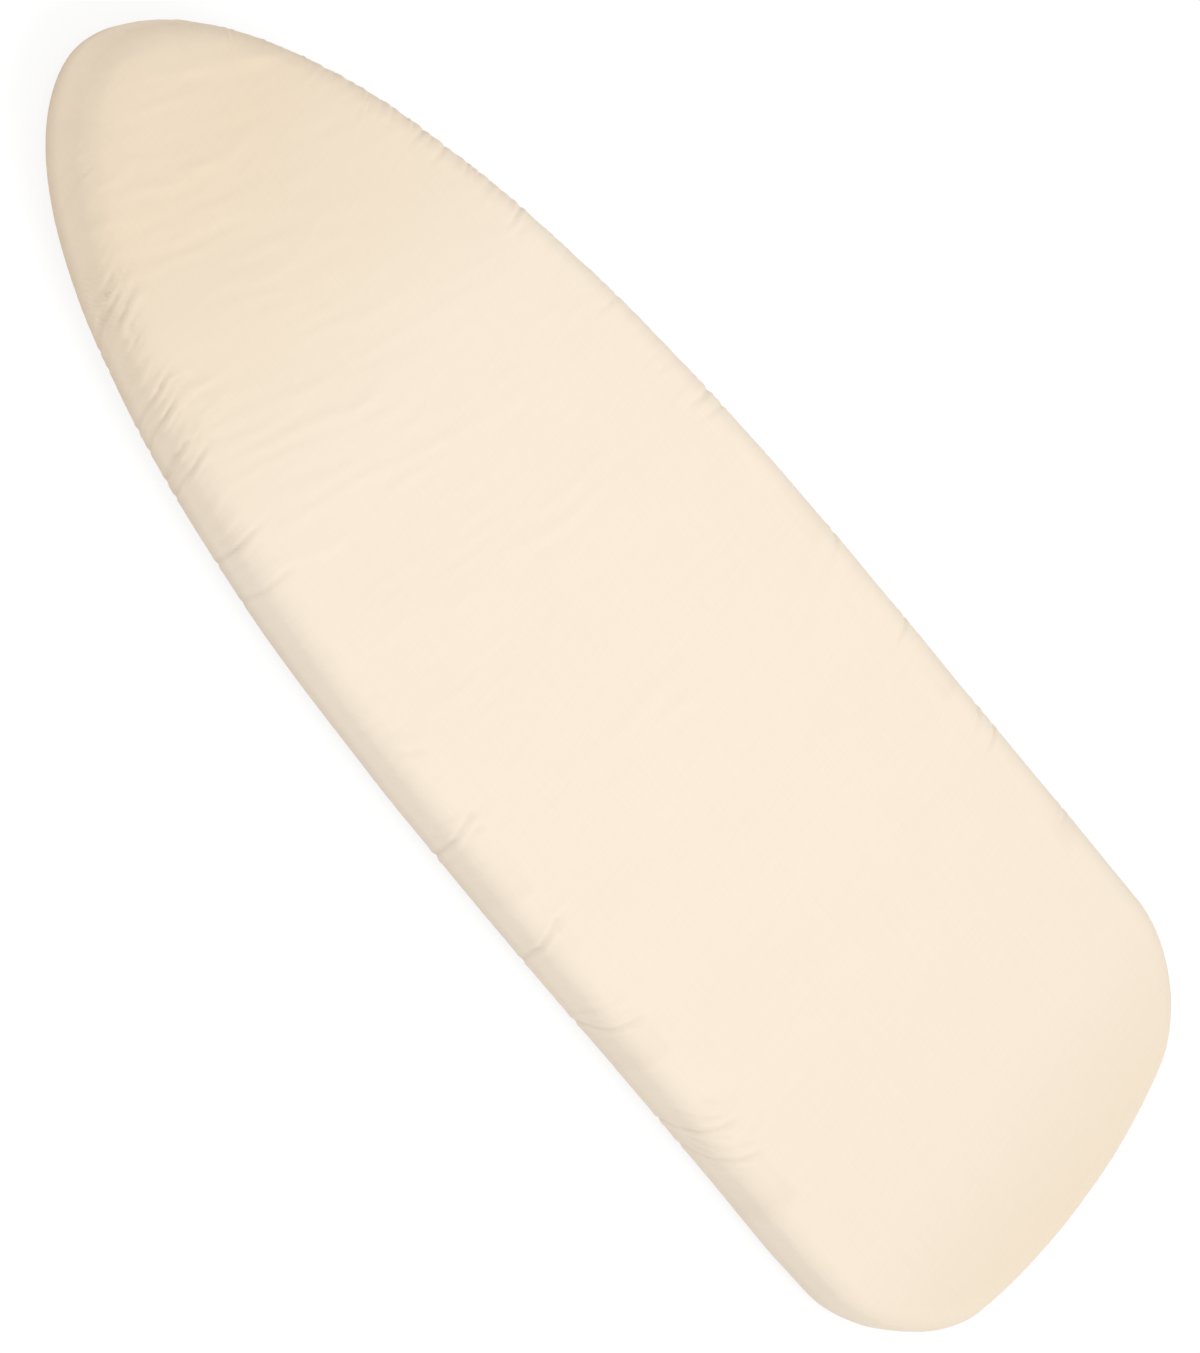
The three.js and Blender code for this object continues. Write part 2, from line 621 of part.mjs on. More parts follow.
function rivet({ x, y }) {
  const under = ROOF_Z - CHEEK - SEAT;
  const head = under - RIVET_HEAD;
  const profile = [
    [0, head], [RIVET_HEAD_R - HEAD_ROUND, head], [RIVET_HEAD_R, head + HEAD_ROUND],
    [RIVET_HEAD_R, under], [RIVET_R, under], [RIVET_R, PANEL_TOP_Z], [0, PANEL_TOP_Z],
  ].map(([r, z]) => new THREE.Vector2(r, z));
  return new THREE.LatheGeometry(profile, SIDES.rivet).rotateX(Math.PI / 2).translate(x, y, 0);
}

// Spring clip with one mouth for each folded foot bar
function legClip() {
  const gap = TUBE_R + SEAT;
  const tip = LEG_AXIS_Z - CLIP_GRIP;
  const [slant, lead] = CLIP_LEAD;
  const arm = (x) => {
    const [left, right] = x;
    return [
      [left, ROOF_Z - CHEEK], [left, tip + lead], [left + slant, tip],
      [right - slant, tip], [right, tip + lead], [right, ROOF_Z - CHEEK],
    ];
  };
  const ends = [CLIP_X[0] - CLIP_REACH, CLIP_X[1] + CLIP_REACH];
  const arms = CLIP_X.flatMap((x) => [[x - gap - CLIP_ARM, x - gap], [x + gap, x + gap + CLIP_ARM]]);
  const lower = arms.flatMap(arm);
  const line = [
    [ends[0], ROOF_Z], [ends[0], ROOF_Z - CHEEK], ...lower, [ends[1], ROOF_Z - CHEEK], [ends[1], ROOF_Z],
  ];
  const body = toSolid(plateXZ(line, [-CLIP_WIDE / 2, CLIP_WIDE / 2]));
  const tall = [ROOF_Z - CHEEK - OVERRUN, ROOF_Z + OVERRUN];
  const hole = upright(RIVET_R + SEAT, (CLIP_X[0] + CLIP_X[1]) / 2, 0, tall, SIDES.rivet);
  return toGeometry(cut(body, [hole]));
}

// Assembly
const board = new THREE.Group();
board.name = "sleeve_ironing_board";

function place(name, geometry, kind) {
  const mesh = new THREE.Mesh(geometry, material(kind));
  mesh.name = name;
  board.add(mesh);
}

place("cover", cover(), "cloth");
place("pad", pad(), "felt");
place("hem_elastic", hemElastic(), "elastic");
place("top_panel", topPanel(), "panel");
RAILS.forEach((r) => place(r.name, rail(r), "rail"));
LEGS.forEach((leg) => {
  place(`${leg.name}_leg_tube`, legTube(leg), "leg");
  place(`${leg.name}_leg_brace`, legBrace(leg), "leg");
  [[1, "left"], [-1, "right"]].forEach(([side, hand]) => {
    place(`${leg.name}_${hand}_bracket`, bracket(leg, side), "bracket");
    place(`${leg.name}_${hand}_pin`, pivotPin(leg, side), "pin");
    place(`${leg.name}_${hand}_foot`, foot(leg, side), "rubber");
  });
});
place("leg_clip", legClip(), "clip");
RIVETS.forEach((r) => place(r.name, rivet(r), "pin"));

export default board;
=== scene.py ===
"""Looks of a sleeve ironing board: stretched cotton cover, felt pad, pressed steel top and folding tube legs."""

import math

import bmesh
import bpy
import numpy as np
from mathutils import Matrix, Vector


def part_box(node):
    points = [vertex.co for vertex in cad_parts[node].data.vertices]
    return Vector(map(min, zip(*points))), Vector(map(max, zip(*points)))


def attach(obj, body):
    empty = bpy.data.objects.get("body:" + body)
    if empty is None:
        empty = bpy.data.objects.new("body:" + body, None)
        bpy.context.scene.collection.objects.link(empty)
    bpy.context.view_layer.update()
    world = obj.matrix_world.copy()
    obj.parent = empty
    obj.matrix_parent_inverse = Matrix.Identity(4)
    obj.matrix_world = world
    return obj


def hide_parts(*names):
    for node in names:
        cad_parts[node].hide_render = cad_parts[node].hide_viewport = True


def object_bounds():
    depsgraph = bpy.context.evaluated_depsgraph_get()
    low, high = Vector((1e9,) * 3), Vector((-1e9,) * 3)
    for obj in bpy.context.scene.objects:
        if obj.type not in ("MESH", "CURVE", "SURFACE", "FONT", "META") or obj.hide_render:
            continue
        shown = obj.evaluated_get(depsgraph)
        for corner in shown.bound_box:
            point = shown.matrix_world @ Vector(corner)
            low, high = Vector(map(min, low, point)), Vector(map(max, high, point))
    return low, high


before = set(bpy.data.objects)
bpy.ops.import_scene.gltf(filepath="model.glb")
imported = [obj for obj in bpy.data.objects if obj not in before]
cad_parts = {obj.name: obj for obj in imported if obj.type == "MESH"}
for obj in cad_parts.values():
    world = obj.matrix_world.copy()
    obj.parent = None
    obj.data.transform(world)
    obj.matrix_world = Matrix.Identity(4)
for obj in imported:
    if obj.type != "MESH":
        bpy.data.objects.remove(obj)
CAD_BOX = [list(corner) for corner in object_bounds()]

bl_info = {
    "name": "Sleeve ironing board",
    "version": (1, 0, 0),
    "blender": (4, 5, 0),
    "location": "3D View > Sidebar > Sleeve board",
    "description": "Builds the cloth, metal and rubber of a folding sleeve ironing board on its frame",
    "category": "Object",
}

MM = 0.001
MERGE_DISTANCE = 1e-7
LENGTH = CAD_BOX[1][0] - CAD_BOX[0][0]
WIDTH = CAD_BOX[1][1] - CAD_BOX[0][1]


# Sizes and colours that a user would change


class BoardSettings(bpy.types.PropertyGroup):
    tail_bow: bpy.props.FloatProperty(
        name="Tail bow", description="How far the tail edge bows out past its corners", default=0.022, unit="LENGTH"
    )
    tail_corner: bpy.props.FloatProperty(
        name="Tail corner", description="Radius of the tail's corners", default=0.036, unit="LENGTH"
    )
    nose_share: bpy.props.FloatProperty(
        name="Nose share", description="Share of the length over which the sides draw in", default=0.9, subtype="FACTOR"
    )
    nose_fullness: bpy.props.FloatProperty(
        name="Nose fullness", description="How late the sides start to draw in", default=3.79
    )
    nose_roundness: bpy.props.FloatProperty(
        name="Nose roundness", description="2 gives a round nose, less a pointed one", default=1.88
    )
    under_height: bpy.props.FloatProperty(
        name="Underside", description="Height of the cloth's underside above the table", default=0.0034, unit="LENGTH"
    )
    edge_height: bpy.props.FloatProperty(
        name="Edge height", description="Height at which the rounded edge ends", default=0.0273, unit="LENGTH"
    )
    edge_round: bpy.props.FloatProperty(
        name="Edge round", description="Radius of the padded upper edge", default=0.008, unit="LENGTH"
    )
    crown_rise: bpy.props.FloatProperty(
        name="Crown", description="Height of the middle above the rounded edge", default=0.0013, unit="LENGTH"
    )
    under_turn: bpy.props.FloatProperty(
        name="Lower turn", description="Radius where the cloth turns under the board", default=0.002, unit="LENGTH"
    )
    hem_depth: bpy.props.FloatProperty(
        name="Hem depth", description="How far the hem reaches in from the edge", default=0.0172, unit="LENGTH"
    )
    hem_return: bpy.props.FloatProperty(
        name="Hem return", description="Width of the cloth folded back over the elastic", default=0.007, unit="LENGTH"
    )
    hem_height: bpy.props.FloatProperty(
        name="Hem height", description="Height of the hem's two layers and elastic", default=0.0034, unit="LENGTH"
    )


class ClothSettings(bpy.types.PropertyGroup):
    cotton: bpy.props.FloatVectorProperty(
        name="Cotton", description="Colour of the undyed cotton", default=(0.90, 0.787, 0.645), size=3, subtype="COLOR"
    )
    # Yellowing from heat at nose and tail; at the nose it is also painted shade for the light falling off there
    age_and_nose_shade_tint: bpy.props.FloatVectorProperty(
        name="Age tint and nose shade", description="Tint of the cotton at the nose", default=(0.935, 0.885, 0.81), size=3,
        subtype="COLOR",
    )
    # Painted shade: darkens the cotton low on its edge, where it turns under towards the table
    low_edge_shade_tint: bpy.props.FloatVectorProperty(
        name="Low edge shade", description="Tint of the cotton where it turns under", default=(0.87, 0.85, 0.82), size=3,
        subtype="COLOR",
    )
    felt: bpy.props.FloatVectorProperty(
        name="Felt", description="Colour of the pad", default=(0.66, 0.62, 0.54), size=3, subtype="COLOR"
    )
    thread_pitch: bpy.props.FloatProperty(
        name="Thread pitch", description="Distance between neighbouring threads", default=0.00048, unit="LENGTH"
    )
    gather_pitch: bpy.props.FloatProperty(
        name="Gather pitch", description="Mean distance between gathers at the edge", default=0.0027, unit="LENGTH"
    )
    gather_depth: bpy.props.FloatProperty(
        name="Gather depth", description="Height of the strongest gathers", default=0.0008, unit="LENGTH"
    )
    tuck_pitch: bpy.props.FloatProperty(
        name="Tuck pitch", description="Mean distance between the tucks that the elastic draws up below",
        default=0.0056, unit="LENGTH",
    )
    tuck_depth: bpy.props.FloatProperty(
        name="Tuck depth", description="Height of the fullest tucks at the hem", default=0.0021, unit="LENGTH"
    )
    stitch: bpy.props.FloatVectorProperty(
        name="Stitch", description="Length, gap and thickness of the hem's stitches", default=(0.0024, 0.0007, 0.0005),
        size=3, subtype="XYZ_LENGTH",
    )
    fold_height: bpy.props.FloatProperty(
        name="Tension folds", description="Height of the broad folds that cross the board", default=0.0005,
        unit="LENGTH",
    )
    slack: bpy.props.FloatProperty(
        name="Slack", description="How far the cloth between gathers lies inside the full width", default=0.0004,
        unit="LENGTH",
    )
    thickness: bpy.props.FloatProperty(
        name="Cloth", description="Thickness of the cotton", default=0.00045, unit="LENGTH"
    )
    flat_width: bpy.props.FloatProperty(
        name="Cut width", description="Width of the cloth before it was put on", default=0.292, unit="LENGTH"
    )
    flat_length: bpy.props.FloatProperty(
        name="Cut length", description="Length of the cloth before it was put on", default=0.662, unit="LENGTH"
    )
    flat_area: bpy.props.FloatProperty(
        name="Cut area", description="Area of the cloth before it was put on, in square metres", default=0.157
    )


class MetalSettings(bpy.types.PropertyGroup):
    panel_inset: bpy.props.FloatProperty(
        name="Top inset", description="From the cover's edge to the steel top", default=0.0014, unit="LENGTH"
    )
    top_sheet: bpy.props.FloatProperty(
        name="Top sheet", description="Thickness of the pressed top", default=0.0012, unit="LENGTH"
    )
    press_round: bpy.props.FloatProperty(
        name="Pressed edge", description="Radius of the top's pressed edge", default=0.004, unit="LENGTH"
    )
    flange: bpy.props.FloatProperty(
        name="Flange", description="Width of the flange turned in at the rim", default=0.007, unit="LENGTH"
    )
    vent_radius: bpy.props.FloatProperty(
        name="Vent", description="Radius of a vent hole", default=0.005, unit="LENGTH"
    )
    vent_dish: bpy.props.FloatProperty(
        name="Vent collar", description="How far a vent's pressed collar stands below the sheet", default=0.0012,
        unit="LENGTH",
    )
    vent_pitch: bpy.props.FloatVectorProperty(
        name="Vent pitch", description="Distance between vents along and across", default=(0.036, 0.032), size=2,
        subtype="XYZ_LENGTH",
    )
    vent_margin: bpy.props.FloatProperty(
        name="Vent margin", description="From the edge to the nearest vent's middle", default=0.021, unit="LENGTH"
    )
    vent_clear: bpy.props.FloatProperty(
        name="Vent clearance", description="Free sheet between a vent and what is fixed below", default=0.003,
        unit="LENGTH",
    )
    seat: bpy.props.FloatProperty(
        name="Seat", description="How much higher the fixed pieces reach than in the frame, to meet the top",
        default=0.00028, unit="LENGTH",
    )
    rail_sheet: bpy.props.FloatProperty(
        name="Rail sheet", description="Thickness of the rails", default=0.001, unit="LENGTH"
    )
    weld_pitch: bpy.props.FloatProperty(
        name="Weld pitch", description="Distance between spot welds on a rail", default=0.026, unit="LENGTH"
    )
    bracket_sheet: bpy.props.FloatProperty(
        name="Bracket sheet", description="Thickness of the hinge brackets", default=0.0015, unit="LENGTH"
    )
    bracket_corner: bpy.props.FloatProperty(
        name="Bracket corner", description="Radius of the cheeks' free corner", default=0.008, unit="LENGTH"
    )
    tube_radius: bpy.props.FloatProperty(
        name="Leg tube", description="Radius of the leg tubes", default=0.006, unit="LENGTH"
    )
    bend_radius: bpy.props.FloatProperty(
        name="Leg bend", description="Radius of a leg's bends, at the tube's middle", default=0.018, unit="LENGTH"
    )
    brace_radius: bpy.props.FloatProperty(
        name="Brace", description="Radius of the rods across the legs", default=0.003, unit="LENGTH"
    )
    foot_groove: bpy.props.FloatProperty(
        name="Foot groove", description="Depth of the grooves in the rubber feet", default=0.0009, unit="LENGTH"
    )


class StageSettings(bpy.types.PropertyGroup):
    backdrop: bpy.props.FloatVectorProperty(
        name="Backdrop", description="Colour of floor and backdrop", default=(1.0, 1.0, 1.0), size=3, subtype="COLOR"
    )
    key_strength: bpy.props.FloatProperty(
        name="Key light", description="Strength of the slanting light that shows the folds", default=1.12
    )
    key_softness: bpy.props.FloatProperty(
        name="Key softness", description="Angle over which the key light spreads", default=0.45, subtype="ANGLE"
    )
    fill_strength: bpy.props.FloatProperty(
        name="Fill light", description="Strength of the low light on the nose and the left side", default=0.72
    )
    overhead_power: bpy.props.FloatProperty(
        name="Overhead light", description="Power of the soft lamp above the board", default=0.32, unit="POWER"
    )
    sky: bpy.props.FloatProperty(name="Sky", description="Strength of the even light from all round", default=0.622)
    camera_azimuth: bpy.props.FloatProperty(
        name="Camera azimuth", description="From the nose's direction towards the left side", default=0.7943,
        subtype="ANGLE",
    )
    camera_elevation: bpy.props.FloatProperty(
        name="Camera elevation", description="Above the table", default=0.994, subtype="ANGLE"
    )
    camera_roll: bpy.props.FloatProperty(
        name="Camera roll", description="Turn of the camera about its own axis", default=1.5554, subtype="ANGLE"
    )
    camera_distance: bpy.props.FloatProperty(
        name="Camera distance", description="From the middle of the view", default=2.152, unit="LENGTH"
    )
    camera_lens: bpy.props.FloatProperty(name="Camera lens", description="Focal length in millimetres", default=167.9)
    camera_target: bpy.props.FloatVectorProperty(
        name="Camera target", description="Point at the middle of the view", default=(0.0013, 0.0125, 0.0269), size=3,
        subtype="TRANSLATION",
    )


# Meshes, selection and nodes


def clear_selection():
    for obj in bpy.context.selected_objects:
        obj.select_set(False)


def new_object(name, points, faces):
    mesh = bpy.data.meshes.new(name)
    mesh.from_pydata(np.asarray(points).tolist(), [], [list(f) for f in faces])
    obj = bpy.data.objects.new(name, mesh)
    bpy.context.scene.collection.objects.link(obj)
    return obj


def add_uv(obj, name, places):
    """A UV map that gives each vertex this place."""
    layer = obj.data.uv_layers.new(name=name)
    corner = np.empty(len(obj.data.loops), dtype=np.int32)
    obj.data.loops.foreach_get("vertex_index", corner)
    layer.data.foreach_set("uv", places[corner].astype(np.float32).ravel())


def merge_and_face_out(obj):
    shape = bmesh.new()
    shape.from_mesh(obj.data)
    bmesh.ops.remove_doubles(shape, verts=shape.verts, dist=MERGE_DISTANCE)
    bmesh.ops.dissolve_degenerate(shape, edges=shape.edges, dist=MERGE_DISTANCE / 10)
    bmesh.ops.recalc_face_normals(shape, faces=shape.faces)
    shape.to_mesh(obj.data)
    shape.free()
    obj.data.shade_smooth()


def dress(obj, body, slot, material, *nodes):
    obj.data.materials.clear()
    obj.data.materials.append(material)
    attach(obj, body)
    if nodes:
        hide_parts(*nodes)
    return obj


class Tree:
    """Short words for making nodes: a value is a number, a colour or another node's output."""

    def __init__(self, tree):
        self.tree = tree
        self.x = 0

    def node(self, kind, inputs=None, **settings):
        node = self.tree.nodes.new(kind)
        self.x += 180
        node.location = (self.x, 0)
        for key, value in settings.items():
            setattr(node, key, value)
        for key, value in (inputs or {}).items():
            if isinstance(value, bpy.types.NodeSocket):
                self.tree.links.new(value, node.inputs[key])
            else:
                node.inputs[key].default_value = value
        return node

    def math(self, operation, a, b=0.0, clamp=False):
        return self.node("ShaderNodeMath", {0: a, 1: b}, operation=operation, use_clamp=clamp).outputs[0]

    def add(self, a, b):
        return self.math("ADD", a, b)

    def minus(self, a, b):
        return self.math("SUBTRACT", a, b)

    def times(self, a, b, clamp=False):
        return self.math("MULTIPLY", a, b, clamp)

    def swing(self, value, amount):
        """How far a value from 0 to 1 lies from its middle, times an amount."""
        return self.times(self.minus(value, 0.5), amount)

    def ramp(self, value, low, high, to_low=0.0, to_high=1.0):
        inputs = {"Value": value, "From Min": low, "From Max": high, "To Min": to_low, "To Max": to_high}
        return self.node("ShaderNodeMapRange", inputs).outputs["Result"]

    def noise(self, vector, scale, detail=3.0, roughness=0.5, distortion=0.0):
        inputs = {"Vector": vector, "Scale": scale, "Detail": detail, "Roughness": roughness, "Distortion": distortion}
        return self.node("ShaderNodeTexNoise", inputs).outputs["Fac"]

    def stretch(self, vector, scale, turn=(0, 0, 0)):
        return self.node("ShaderNodeMapping", {"Vector": vector, "Scale": scale, "Rotation": turn}).outputs["Vector"]

    def mix(self, factor, a, b, blend="MIX"):
        """Colours a and b mixed. Their sockets and the result come after those for numbers and vectors."""
        inputs = {0: factor, 6: a, 7: b}
        return self.node("ShaderNodeMix", inputs, data_type="RGBA", blend_type=blend).outputs[2]

    def shaded(self, colour, shade):
        grey = self.node("ShaderNodeCombineColor", {0: shade, 1: shade, 2: shade}).outputs[0]
        return self.mix(1.0, colour, grey, "MULTIPLY")

    def group(self, group, inputs):
        return self.node("ShaderNodeGroup", inputs, node_tree=group).outputs

    def place(self):
        return self.node("ShaderNodeTexCoord").outputs["Object"]

    def axes(self, vector):
        return self.node("ShaderNodeSeparateXYZ", {0: vector}).outputs

    def seen(self):
        """1 where the camera sees it, also by way of metal or glass, and else 0."""
        path = self.node("ShaderNodeLightPath").outputs
        seen = self.math("MAXIMUM", path["Is Camera Ray"], path["Is Glossy Ray"])
        return self.math("MAXIMUM", seen, path["Is Transmission Ray"])


def effect(name, inputs, outputs):
    """A shader node group with named inputs and outputs, and its two end nodes."""
    tree = bpy.data.node_groups.new(name, "ShaderNodeTree")
    kinds = {"value": "NodeSocketFloat", "colour": "NodeSocketColor", "vector": "NodeSocketVector"}
    for label, kind, value in inputs:
        socket = tree.interface.new_socket(label, in_out="INPUT", socket_type=kinds[kind])
        if value is not None:
            socket.default_value = value
    for label, kind in outputs:
        tree.interface.new_socket(label, in_out="OUTPUT", socket_type=kinds[kind])
    start = tree.nodes.new("NodeGroupInput")
    end = tree.nodes.new("NodeGroupOutput")
    return Tree(tree), start.outputs, lambda key, value: tree.links.new(value, end.inputs[key])


def rgba(colour):
    return (*colour[:3], 1.0)


def plain_weave():
    """Warp and weft threads that pass over and under each other, with slubs and uneven tone."""
    if "Plain weave" in bpy.data.node_groups:
        return bpy.data.node_groups["Plain weave"]
    t, given, put = effect(
        "Plain weave",
        [("Cloth", "vector", None), ("Pitch", "value", 0.0005), ("Colour", "colour", (0.9, 0.8, 0.65, 1)),
         ("Slub", "value", 0.04), ("Blotch", "value", 0.02)],
        [("Colour", "colour"), ("Height", "value"), ("Roughness", "value")],
    )
    axes = t.axes(given["Cloth"])
    turns = [t.math("DIVIDE", t.times(axes[i], math.pi), given["Pitch"]) for i in (0, 1)]
    waves = [t.math("SINE", turn) for turn in turns]
    over = t.math("GREATER_THAN", t.times(waves[0], waves[1]), 0.0)
    rounds = [t.math("ABSOLUTE", wave) for wave in waves]
    warp = t.times(rounds[0], t.add(t.times(rounds[1], 0.5), 0.5))
    weft = t.times(rounds[1], t.add(t.times(rounds[0], 0.5), 0.5))
    thread = t.add(t.times(warp, over), t.times(weft, t.minus(1.0, over)))
    slub_x = t.noise(t.stretch(given["Cloth"], (1400, 45, 1)), 1.0, 2.0)
    slub_y = t.noise(t.stretch(given["Cloth"], (45, 1400, 1)), 1.0, 2.0)
    slub = t.minus(t.add(slub_x, slub_y), 1.0)
    blotch = t.minus(t.noise(given["Cloth"], 22.0, 4.0, 0.6), 0.5)
    shade = t.add(1.0, t.add(t.times(slub, given["Slub"]), t.times(blotch, given["Blotch"])))
    # Painted shade: up to 3% darker where the threads lie low, between them
    shade = t.minus(shade, t.times(t.minus(1.0, thread), 0.03))
    put("Colour", t.shaded(given["Colour"], shade))
    put("Height", t.add(thread, t.times(slub, 0.8)))
    put("Roughness", t.add(0.86, t.times(slub, 0.1)))
    return t.tree


def brushed_metal():
    """Rolled sheet or drawn wire: spangle, faint streaks and dull patches."""
    if "Rolled metal" in bpy.data.node_groups:
        return bpy.data.node_groups["Rolled metal"]
    t, given, put = effect(
        "Rolled metal",
        [("Place", "vector", None), ("Colour", "colour", (0.7, 0.7, 0.7, 1)), ("Spangle", "value", 0.5),
         ("Streak", "value", 0.4), ("Roughness", "value", 0.35)],
        [("Colour", "colour"), ("Height", "value"), ("Roughness", "value")],
    )
    bend = t.node("ShaderNodeTexNoise", {"Vector": given["Place"], "Scale": 210.0, "Detail": 4.0, "Roughness": 0.6})
    bend = t.node("ShaderNodeVectorMath", {0: bend.outputs["Color"], 1: (0.5,) * 3}, operation="SUBTRACT").outputs[0]
    bend = t.node("ShaderNodeVectorMath", {0: bend, 1: (0.009,) * 3}, operation="MULTIPLY").outputs[0]
    bent = t.node("ShaderNodeVectorMath", {0: given["Place"], 1: bend}, operation="ADD").outputs[0]
    cells = t.node("ShaderNodeTexVoronoi", {"Vector": bent, "Scale": 105.0, "Smoothness": 0.12}, feature="SMOOTH_F1")
    flower = t.node("ShaderNodeSeparateColor", {0: cells.outputs["Color"]}).outputs[0]
    feather = t.noise(t.stretch(bent, (420, 120, 300), (0, 0, 0.6)), 1.0, 4.0, 0.65)
    flower = t.add(t.times(flower, 0.55), t.times(feather, 0.45))
    streak = t.noise(t.stretch(given["Place"], (30, 900, 900)), 1.0, 4.0, 0.6)
    patch = t.noise(given["Place"], 28.0, 4.0, 0.6)
    spangle = t.swing(flower, given["Spangle"])
    streaky = t.swing(streak, given["Streak"])
    shade = t.add(0.95, t.times(t.add(spangle, streaky), 0.28))
    shade = t.add(shade, t.swing(patch, 0.16))
    put("Colour", t.shaded(given["Colour"], shade))
    rough = t.add(given["Roughness"], t.times(spangle, 0.2))
    rough = t.add(rough, t.times(streaky, 0.14))
    put("Roughness", t.add(rough, t.swing(patch, 0.2)))
    put("Height", t.add(streak, t.times(patch, 0.5)))
    return t.tree


def skin_grain():
    """Fine uneven skin of paint, rubber or moulded plastic, with worn and dusty patches."""
    if "Skin grain" in bpy.data.node_groups:
        return bpy.data.node_groups["Skin grain"]
    t, given, put = effect(
        "Skin grain",
        [("Place", "vector", None), ("Colour", "colour", (0.8, 0.8, 0.8, 1)), ("Rubbed", "colour", (0.5, 0.5, 0.5, 1)),
         ("Wear", "value", 0.3), ("Scale", "value", 900.0), ("Roughness", "value", 0.5)],
        [("Colour", "colour"), ("Height", "value"), ("Roughness", "value"), ("Wear", "value")],
    )
    grain = t.noise(given["Place"], given["Scale"], 2.0, 0.5)
    patch = t.noise(given["Place"], 45.0, 5.0, 0.65)
    scratch = t.noise(t.stretch(given["Place"], (60, 700, 700), (0.3, 0.2, 0.7)), 1.0, 3.0, 0.6)
    worn = t.times(t.ramp(patch, 0.52, 0.72), t.ramp(scratch, 0.48, 0.62))
    worn = t.times(worn, given["Wear"], clamp=True)
    shade = t.add(0.96, t.times(patch, 0.08))
    put("Colour", t.mix(worn, t.shaded(given["Colour"], shade), given["Rubbed"]))
    put("Height", t.add(grain, t.times(scratch, 0.3)))
    rough = t.add(given["Roughness"], t.swing(patch, 0.25))
    put("Roughness", t.add(rough, t.swing(grain, 0.1)))
    put("Wear", worn)
    return t.tree


def new_material(name):
    material = bpy.data.materials.new(name)
    material.use_nodes = True
    material.node_tree.nodes.clear()
    t = Tree(material.node_tree)
    shader = t.node("ShaderNodeBsdfPrincipled")
    t.node("ShaderNodeOutputMaterial", {"Surface": shader.outputs[0]})
    return material, t, shader


def surface(t, shader, colour, roughness, height, strength, distance):
    """Joins colour, roughness and relief to a shader."""
    relief = t.node("ShaderNodeBump", {"Height": height, "Strength": strength, "Distance": distance}).outputs[0]
    for key, value in (("Base Color", colour), ("Roughness", roughness), ("Normal", relief)):
        t.tree.links.new(value, shader.inputs[key])


def cotton_material(settings):
    if "undyed cotton" in bpy.data.materials:
        return bpy.data.materials["undyed cotton"]
    material, t, shader = new_material("undyed cotton")
    cloth = t.node("ShaderNodeUVMap", uv_map="cut").outputs[0]
    weave = t.group(plain_weave(), {"Cloth": cloth, "Pitch": settings.thread_pitch, "Colour": rgba(settings.cotton)})
    axes = t.axes(t.place())
    # Yellowed cotton towards nose and tail from heat; at the nose partly painted shade standing in for the light's
    # fall-off
    nose, tail = t.ramp(axes[0], 0.12, 0.23), t.ramp(axes[0], -0.22, -0.28, 0.0, 0.6)
    age_and_shade = t.times(t.add(nose, tail), t.ramp(t.noise(cloth, 9.0, 3.0), 0.3, 0.7, 0.75, 1.0))
    age_and_shade = t.mix(age_and_shade, (1, 1, 1, 1), rgba(settings.age_and_nose_shade_tint))
    # Painted shade: the cotton darkens below 12.5 mm, more towards the nose, in place of the shade near the table
    wear_and_shade = t.times(t.ramp(axes[2], 0.0125, 0.0045), t.ramp(axes[0], -0.12, 0.1, 0.35, 1.0))
    wear_and_shade = t.times(wear_and_shade, t.ramp(t.noise(cloth, 60.0, 3.0), 0.3, 0.7, 0.8, 1.1))
    age_and_shade = t.mix(wear_and_shade, age_and_shade, rgba(settings.low_edge_shade_tint), "MULTIPLY")
    dip = t.node("ShaderNodeAttribute", attribute_name="dip").outputs["Fac"]
    tone = t.mix(1.0, weave["Colour"], age_and_shade, "MULTIPLY")
    # Painted shade: the valleys between the gathers are darkened towards brown by up to 16%
    tone = t.mix(t.times(dip, 0.16), tone, (0.62, 0.50, 0.38, 1))
    shader.inputs["Sheen Weight"].default_value = 0.12
    shader.inputs["Sheen Roughness"].default_value = 0.6
    shader.inputs["Specular IOR Level"].default_value = 0.25
    crumple = t.noise(t.stretch(cloth, (150, 60, 1), (0, 0, 0.25)), 1.0, 4.0, 0.6, 0.4)
    height = t.add(t.times(weave["Height"], 0.05), t.times(crumple, 0.5))
    surface(t, shader, tone, weave["Roughness"], height, 0.6, 0.0004)
    return material


def thread_material(settings):
    material, t, shader = new_material("sewing thread")
    place = t.place()
    plies = t.noise(t.stretch(place, (2600, 2600, 900), (0.5, 0.2, 0.8)), 1.0, 3.0, 0.6)
    tone = t.mix(plies, rgba([c * 0.8 for c in settings.cotton]), rgba([min(c * 1.12, 1) for c in settings.cotton]))
    shader.inputs["Sheen Weight"].default_value = 0.2
    surface(t, shader, tone, t.ramp(plies, 0.3, 0.7, 0.85, 0.6), plies, 0.7, 0.0002)
    return material


def felt_material(settings):
    material, t, shader = new_material("needled felt")
    place = t.place()
    fibres = t.noise(t.stretch(place, (1200, 260, 800), (0.1, 0.2, 0.4)), 1.0, 5.0, 0.7, 0.6)
    cross = t.noise(t.stretch(place, (260, 1200, 800), (0.2, 0.1, -0.5)), 1.0, 5.0, 0.7, 0.6)
    both = t.times(t.add(fibres, cross), 0.5)
    fleck = t.ramp(t.noise(place, 420.0, 2.0), 0.62, 0.7)
    colour = t.mix(both, rgba([c * 0.82 for c in settings.felt]), rgba([min(c * 1.16, 1) for c in settings.felt]))
    colour = t.mix(t.times(fleck, 0.5), colour, (0.30, 0.29, 0.30, 1))
    shader.inputs["Sheen Weight"].default_value = 0.25
    surface(t, shader, colour, t.ramp(both, 0.0, 1.0, 0.88, 1.0), both, 0.8, 0.0006)
    return material


